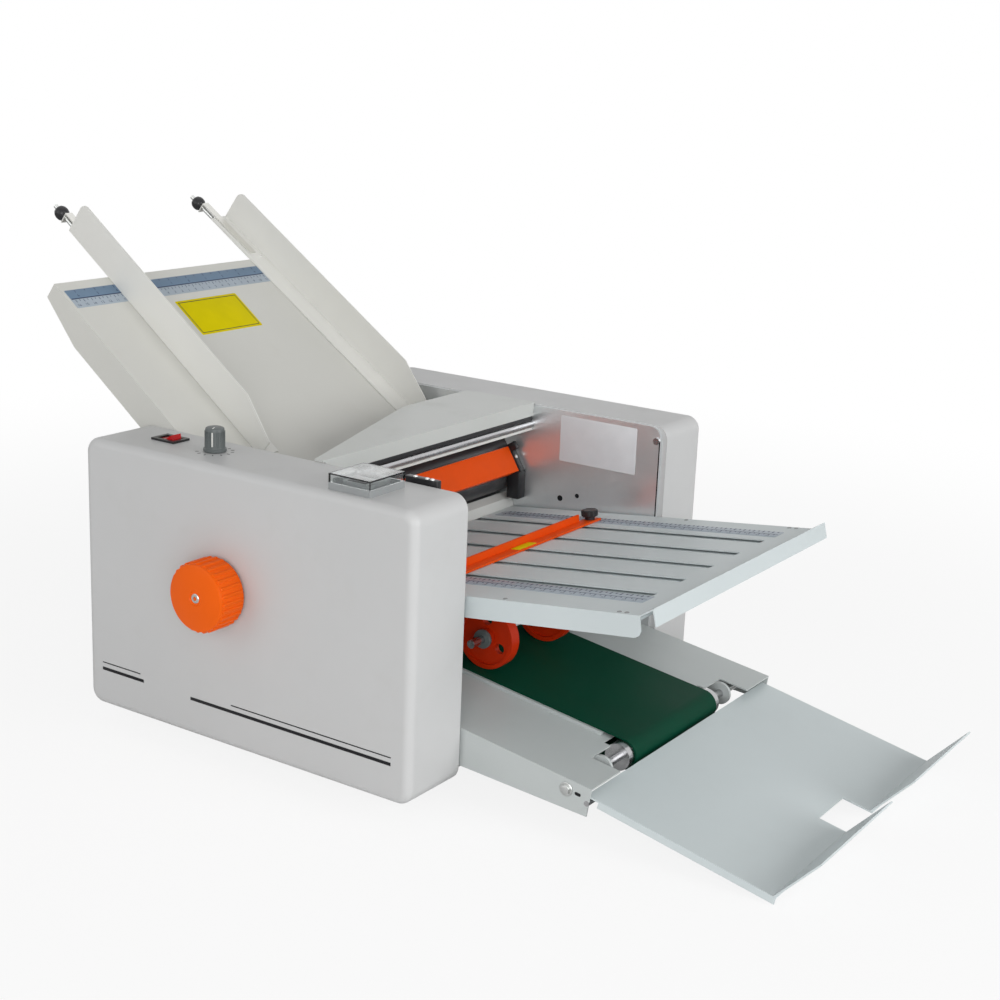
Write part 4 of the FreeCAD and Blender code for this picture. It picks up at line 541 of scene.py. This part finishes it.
def tray_patch():
    """A plain yellow patch with a thin border."""
    patch = add_sheet(bmesh.new(), rectangle(44.8, -42, 93.9, 48), 0.22, 1.5, 0.08)
    piece("tray_yellow_patch", patch, yellow_film, "frame", FEED_TRAY)
    middle_x, middle_y, line, level = 69.35, 3, 0.8, 0.22
    border = bmesh.new()
    for at in (47.6, 91.1):
        add_block(border, (line, 84.8, INK), (at, middle_y, level))
    for across in (-39, 45):
        add_block(border, (43.5, line, INK), (middle_x, across, level))
    piece("tray_patch_border", border, black_ink, "frame", FEED_TRAY)


def far_plate_label():
    """A plain white label on the inside of the far side plate."""
    label = add_sheet(bmesh.new(), rectangle(67, 225, 157, 273), 0.35, 1.5, 0.1,
                      seat(0, 169.02, 0, turn_x=90))
    piece("far_plate_label", label, white_film, "frame")


def plate_scales():
    """Two pale strips along the fold plate, each with a line, two rows of ticks and a row of figures."""
    strips = ((-130, -109), (120, 141))
    films = bmesh.new()
    for low, high in strips:
        add_sheet(films, rectangle(22, low, 340, high), 0.25, 1.2, 0.08)
    piece("plate_scale_strips", films, pale_film, "front_plate", FOLD_PLATE)
    tick_pitch, figure_pitch, margin = 5, 10, 1
    ticks = bmesh.new()
    for low, high in strips:
        middle = (low + high) / 2
        add_block(ticks, (314, 0.8, INK), (181, middle, ON_BAND))
        for step in range(6, 68):
            tall = 5.0 if step % 2 == 0 else 3.0
            add_block(ticks, (1.3, tall, INK), (tick_pitch * step, high - margin - tall / 2, ON_BAND))
            add_block(ticks, (1.1, tall * 0.7, INK),
                      (tick_pitch * step, middle - margin - tall * 0.35, ON_BAND))
        for step in range(3, 34):
            add_figures(ticks, str(step), 4.4, seat(figure_pitch * step, low + 3.4, 0.22))
    piece("plate_scale_marks", ticks, blue_line, "front_plate", FOLD_PLATE)


def stop_bar_patch():
    """The small yellow patch on top of the stop bar."""
    patch = add_sheet(bmesh.new(), rectangle(131.5, -13, 141.5, 17), 0.25, 0.8, 0.08, seat(0, 0, 2.3))
    piece("stop_bar_patch", patch, yellow_film, "front_stop", FOLD_PLATE)


# ---------------------------------------------------------------- cover and controls

DIAL_X, DIAL_Y = -65, -205
SPEED_KNOB = seat(DIAL_X, DIAL_Y, 279.3)
POINTER_TURN = seat(0, 0, 0, turn_z=-62)
HAND_KNOB = seat(-22, -247, 167.5, turn_x=90)


def cover_lip_seal():
    """A black strip under the lip of the cover: painted shade, standing for the dark gap there."""
    gap_shade_strip = add_block(bmesh.new(), (1.6, 336, 5.4), (31.6, 0, 264.4), 0.5)
    piece("cover_lip_seal", gap_shade_strip, black_moulding, "cover")


def dial_ticks():
    """Eleven ticks round the speed knob."""
    radius, level, first, between = 16, 279.1, 225, 27
    dial = bmesh.new()
    for number in range(11):
        angle = math.radians(first - between * number) - math.pi / 2
        place = seat(DIAL_X + radius * math.cos(angle), DIAL_Y + radius * math.sin(angle), level,
                     turn_z=math.degrees(angle))
        add_block(dial, (3.0, 0.8, 0.2), (0, 0, 0), place=place)
    piece("dial_ticks", dial, black_ink, "frame")


def speed_knob():
    """A ribbed grey knob with a flange, and its white pointer down the side and over the top."""
    grip = add_turned(bmesh.new(), (
        (0, 22), (7.0, 22), (8.2, 21.4), (8.6, 20.2), (9.1, 4.4), (9.3, 3.4), (10.1, 3.1),
        (10.5, 2.5), (10.5, 0.5), (10.1, 0.1), (0, 0.1)), steps=48)
    add_ribs(grip, 30, (0.5, 0.9, 14.5), 8.95, 11.6, 0.2)
    piece("speed_knob_grip", grip, grey_moulding, "speed_dial", SPEED_KNOB, stands_for=("speed_knob",))
    pointer = bmesh.new()
    add_block(pointer, (0.6, 1.3, 13), (9.25, 0, 12.2), 0.2, 1, POINTER_TURN)
    add_block(pointer, (6.5, 1.2, 0.3), (4.6, 0, 22.0), 0.1, 1, POINTER_TURN)
    piece("speed_knob_pointer", pointer, white_moulding, "speed_dial", SPEED_KNOB)


def hand_knob():
    """The ribbed orange knob on the main shaft, with its screw."""
    knob = add_turned(bmesh.new(), (
        (0, 28.6), (6.2, 28.6), (6.9, 29.4), (28.2, 29.6), (30.1, 28.6), (30.7, 26.8), (30.8, 1.0),
        (30.2, 0.1), (0, 0.1)), steps=72)
    add_ribs(knob, 28, (2.6, 3.5, 25.6), 30.7, 14.2, 0.9)
    piece("hand_knob_grip", knob, orange_moulding, "main_shaft", HAND_KNOB, stands_for=("hand_knob",))
    screw = add_turned(bmesh.new(), (
        (1.9, 28.3), (1.9, 29.5), (3.9, 29.5), (4.4, 29.0), (4.4, 28.0), (0, 28.0)), steps=24)
    piece("hand_knob_screw", screw, zinc, "main_shaft", HAND_KNOB)


def counter_windows():
    """The two dark windows of the sheet counter."""
    windows = bmesh.new()
    for across in (-221.5, -206.0):
        add_block(windows, (19, 9.5, 0.8), (114.5, across, 287.2), 0.3)
    piece("counter_windows", windows, black_moulding, "frame")


# ---------------------------------------------------------------- knobs and fittings

def bar_and_stop_knobs():
    """On each side a ball knob with its screw on the guide's bar, and a thumb knob on the stop bar."""
    ball = ((0, 14.2), (3.4, 14.0), (5.6, 12.6), (7.1, 10.0), (7.5, 7.2), (7.1, 4.4), (5.8, 2.2),
            (4.4, 0.9), (4.2, 0.3), (0, 0.3))
    stem = ((0, 19), (1.7, 19), (2.35, 18.4), (2.35, -17.4), (1.8, -18), (0, -18))
    cap = ((0, 9.6), (5.6, 9.6), (6.4, 10), (7.4, 9.9), (8.0, 9.2), (8.1, 3.9), (7.4, 3.1),
           (5.1, 3.0), (5.1, 0), (0, 0))
    for side, guide, across, stop_across in (("near", NEAR_GUIDE, 15, -124), ("far", FAR_GUIDE, -15, 124)):
        place = guide @ seat(-91, across, -4, turn_y=-90)
        dome = add_turned(bmesh.new(), ball, steps=36)
        piece(f"{side}_knob_dome", dome, black_moulding, f"{side}_clamp_knob", place,
              stands_for=(f"{side}_bar_knob",))
        screw = add_turned(bmesh.new(), stem, steps=20)
        piece(f"{side}_knob_screw", screw, zinc, f"{side}_clamp_knob", place)
        thumb = add_turned(bmesh.new(), cap, steps=36)
        add_ribs(thumb, 22, (0.9, 1.3, 5.6), 7.95, 6.5)
        piece(f"{side}_stop_grip", thumb, black_moulding, f"{side}_stop_thumb_knob",
              FOLD_PLATE @ seat(135.5, stop_across, 2.6), stands_for=(f"{side}_stop_knob",))


def wheel_collars():
    """A grey collar on the outside of each press wheel."""
    ring = ((4.0, 0), (8.6, 0), (9.0, 0.5), (9.0, 3.2), (7.6, 3.7), (4.0, 3.7))
    collars = bmesh.new()
    for low in (-70.2, 47.6):
        add_turned(collars, ring, seat(140, low, 111.25, turn_x=-90), 36)
    piece("wheel_collars", collars, grey_moulding, "wheel_arm")


TABLE_SKIRT = 168.75


def tension_bolts():
    """The stem, washer and six-sided head of the bolts that stretch the belt."""
    stem = ((0, -48.7), (3.6, -48.7), (4, -48.3), (4, 0), (5.9, 0), (6.2, 0.3), (6.2, 0.9),
            (5.8, 1.2), (0, 1.2))
    bolts = bmesh.new()
    for side in (-1, 1):
        place = TABLE @ seat(-22.9, side * TABLE_SKIRT, -9.7, turn_x=90 * -side)
        add_turned(bolts, stem, place, 36)
        add_prism(bolts, 6, 4.4, 1.0, 3.5, 0.35, place)
    piece("tension_bolt_heads", bolts, zinc, "frame", stands_for=("tension_bolts",))


def skirt_slot():
    """A short black sheet beside the near tension bolt: painted shade, for the dark inside of a slot."""
    slot = add_sheet(bmesh.new(), rectangle(-14.6, -11.2, -8.6, -8.2), 0.15, 1.4, 0,
                     TABLE @ seat(0, -TABLE_SKIRT, 0, turn_x=90))
    piece("skirt_slot", slot, black_ink, "frame")


def plate_screws():
    """Three small screws along each side of the fold plate."""
    head = ((0, 0.3), (0.9, 0.3), (1.1, 0.6), (1.7, 0.5), (2.1, 0.1), (2.1, -0.1), (0, -0.1))
    screws = bmesh.new()
    for across in (-160.5, 160.5):
        for at in (336, 343, 225):
            add_turned(screws, head, seat(at, across, 0), 24)
    piece("plate_screws", screws, dark_zinc, "front_plate", FOLD_PLATE)


GUARD_END = 161.8


def guard_screws():
    """Two screws in each end clip of the roller guard."""
    head = ((0, 0.5), (0.8, 0.5), (1.0, 0.9), (1.7, 0.8), (2.1, 0.1), (2.1, -0.2), (0, -0.2))
    screws = bmesh.new()
    for across in (-GUARD_END, GUARD_END):
        for at in (4.5, 13):
            add_turned(screws, head, seat(at, across, 1.3), 20)
    piece("guard_screws", screws, zinc, "frame", GUARD)


def guard_end_clips():
    """The black clips at the ends of the roller guard, their legs, and the strip between them."""
    clips = bmesh.new()
    for across in (-GUARD_END, GUARD_END):
        add_block(clips, (31, 5.6, 9.5), (14.6, across, -3.4), 1.2)
        add_block(clips, (9, 5.2, 14), (2, across, 1.2), 1.5)
        add_block(clips, (15, 13.5, 30), (0, 0, 0), 1.5, place=seat(38.6, across, -12.9, turn_y=-58))
    add_block(clips, (10, 318, 1.6), (-5.4, 0, -1.2), 0.5)
    piece("guard_end_clips", clips, black_moulding, "frame", GUARD)


def sheet_sensor():
    """A black block on the near side plate, with three screws."""
    block = add_block(bmesh.new(), (34, 7, 13), (137, -164.4, 276.6), 1.0)
    piece("sensor_block", block, black_moulding, "frame")
    head = ((0, 1.1), (1.2, 1.0), (1.9, 0.6), (2.1, 0), (2.1, -0.3), (0, -0.3))
    screws = bmesh.new()
    for at in (129.5, 142, 147.5):
        add_turned(screws, head, seat(at, -165.2, 283.1), 20)
    piece("sensor_screws", screws, zinc, "frame")


def guard_spring():
    """The coil spring at the near end of the roller guard, as closed rings side by side."""
    coil_radius, wire_radius, wire_steps = 2.9, 0.7, 10
    ring = []
    for step in range(wire_steps + 1):
        angle = math.tau * step / wire_steps
        ring.append((coil_radius + wire_radius * math.cos(angle), wire_radius * math.sin(angle)))
    spring = bmesh.new()
    for coil in range(7):
        add_turned(spring, ring, seat(11, -156.0 + 2.1 * coil, 246, turn_x=-90), 20)
    piece("guard_spring", spring, zinc, "frame")


def far_plate_holes():
    """Two black discs in the far side plate, painted shade for the dark inside of two small holes, and the
    dark seam.
    """
    holes = bmesh.new()
    # black discs: painted shade for the insides of the holes
    for at, height, size in ((70.2, 184.7, 3.1), (90.7, 190.8, 2.4)):
        add_turned(holes, ((0, 0), (size, 0), (size, 0.15), (0, 0.15)), seat(at, 169, height, turn_x=90), 24)
    add_block(holes, (1.3, 0.5, 96), (183.2, 169.0, 216), 0.2)
    piece("far_plate_holes", holes, black_ink, "frame")


for make in (near_face_stripes, tray_ruler, tray_patch, far_plate_label, plate_scales, stop_bar_patch,
             cover_lip_seal, dial_ticks, speed_knob, hand_knob, counter_windows, bar_and_stop_knobs,
             wheel_collars, tension_bolts, skirt_slot, plate_screws, guard_screws, guard_end_clips,
             sheet_sensor, guard_spring, far_plate_holes):
    make()


# ---------------------------------------------------------------- floor, light and camera

def pale_floor():
    """White where the camera sees it, but for the machine's shadow; it whitens outwards."""
    ground = Finish("pale_floor", Roughness=0.8)
    tone = ground.mixed(ground.noise(300, 3), (0.86, 0.86, 0.86), (0.90, 0.90, 0.90))
    ground.done(Base_Color=tone)
    seen = ground.node("LightPath", {}, {}, "Is Camera Ray")
    away = ground.node("VectorMath", {"operation": "LENGTH"}, {0: ground.object_place}, "Value")
    glow = ground.node("Emission", {}, {"Color": (1, 1, 1, 1), "Strength": 1.0})
    share = seen * (away.between(0.5, 1.6) * 0.14 + 0.86)
    blend = ground.node("MixShader", {}, {0: share, 1: Value(ground, ground.shader.outputs[0]), 2: glow})
    ground.tree.links.new(blend.socket, ground.output.inputs["Surface"])
    return ground.material


floor_form = bmesh.new()
bmesh.ops.create_grid(floor_form, x_segments=8, y_segments=8, size=15)
floor_mesh = bpy.data.meshes.new("floor")
floor_form.to_mesh(floor_mesh)
floor_form.free()
floor = bpy.data.objects.new("floor", floor_mesh)
bpy.context.collection.objects.link(floor)
floor_mesh.materials.append(pale_floor())


def studio_sky():
    """A dim light on the machine that is white to the camera, in reflections and through clear parts."""
    sky = bpy.data.worlds.new("studio")
    sky.use_nodes = True
    nodes, links = sky.node_tree.nodes, sky.node_tree.links
    nodes.clear()
    paths = nodes.new("ShaderNodeLightPath")
    strength = nodes.new("ShaderNodeMapRange")
    shown = paths.outputs["Is Camera Ray"]
    for ray in ("Is Glossy Ray", "Is Transmission Ray"):
        either = nodes.new("ShaderNodeMath")
        either.operation = "MAXIMUM"
        links.new(shown, either.inputs[0])
        links.new(paths.outputs[ray], either.inputs[1])
        shown = either.outputs[0]
    links.new(shown, strength.inputs["Value"])
    strength.inputs["To Min"].default_value, strength.inputs["To Max"].default_value = 0.30, 1.0
    backdrop = nodes.new("ShaderNodeBackground")
    backdrop.inputs["Color"].default_value = (1, 1, 1, 1)
    links.new(strength.outputs[0], backdrop.inputs["Strength"])
    surface = nodes.new("ShaderNodeOutputWorld").inputs["Surface"]
    links.new(backdrop.outputs[0], surface)
    return sky


def soft_box(name, at, towards, size, watts):
    """A large square lamp turned towards a point."""
    lamp = bpy.data.lights.new(name, "AREA")
    lamp.shape, lamp.size, lamp.energy = "SQUARE", size, watts
    holder = bpy.data.objects.new(name, lamp)
    holder.location = at
    holder.rotation_euler = (Vector(towards) - Vector(at)).to_track_quat("-Z", "Y").to_euler()
    bpy.context.collection.objects.link(holder)


bpy.context.scene.world = studio_sky()
soft_box("key_light", at=(1.5, -2.2, 0.9), towards=(0, 0, 0.2), size=1.6, watts=28)
soft_box("fill_light", at=(-1.2, -2.4, 1.2), towards=(0, 0, 0.2), size=1.6, watts=9)
soft_box("side_light", at=(2.6, 0.2, 0.9), towards=(0.1, 0, 0.2), size=1.4, watts=27)
soft_box("top_light", at=(-0.3, 0.2, 2.6), towards=(0, 0, 0.2), size=1.6, watts=3.5)

lens = bpy.data.cameras.new("camera")
lens.lens, lens.sensor_width = 61.86, 36
lens.clip_start, lens.clip_end = 0.05, 50
camera = bpy.data.objects.new("camera", lens)
camera.location = (0.97424, -1.30774, 0.65439)
camera.rotation_euler = [math.radians(angle) for angle in (74.6521, -2.3212, 34.1750)]
bpy.context.collection.objects.link(camera)
bpy.context.scene.camera = camera
bpy.context.scene.view_settings.view_transform = "Standard"
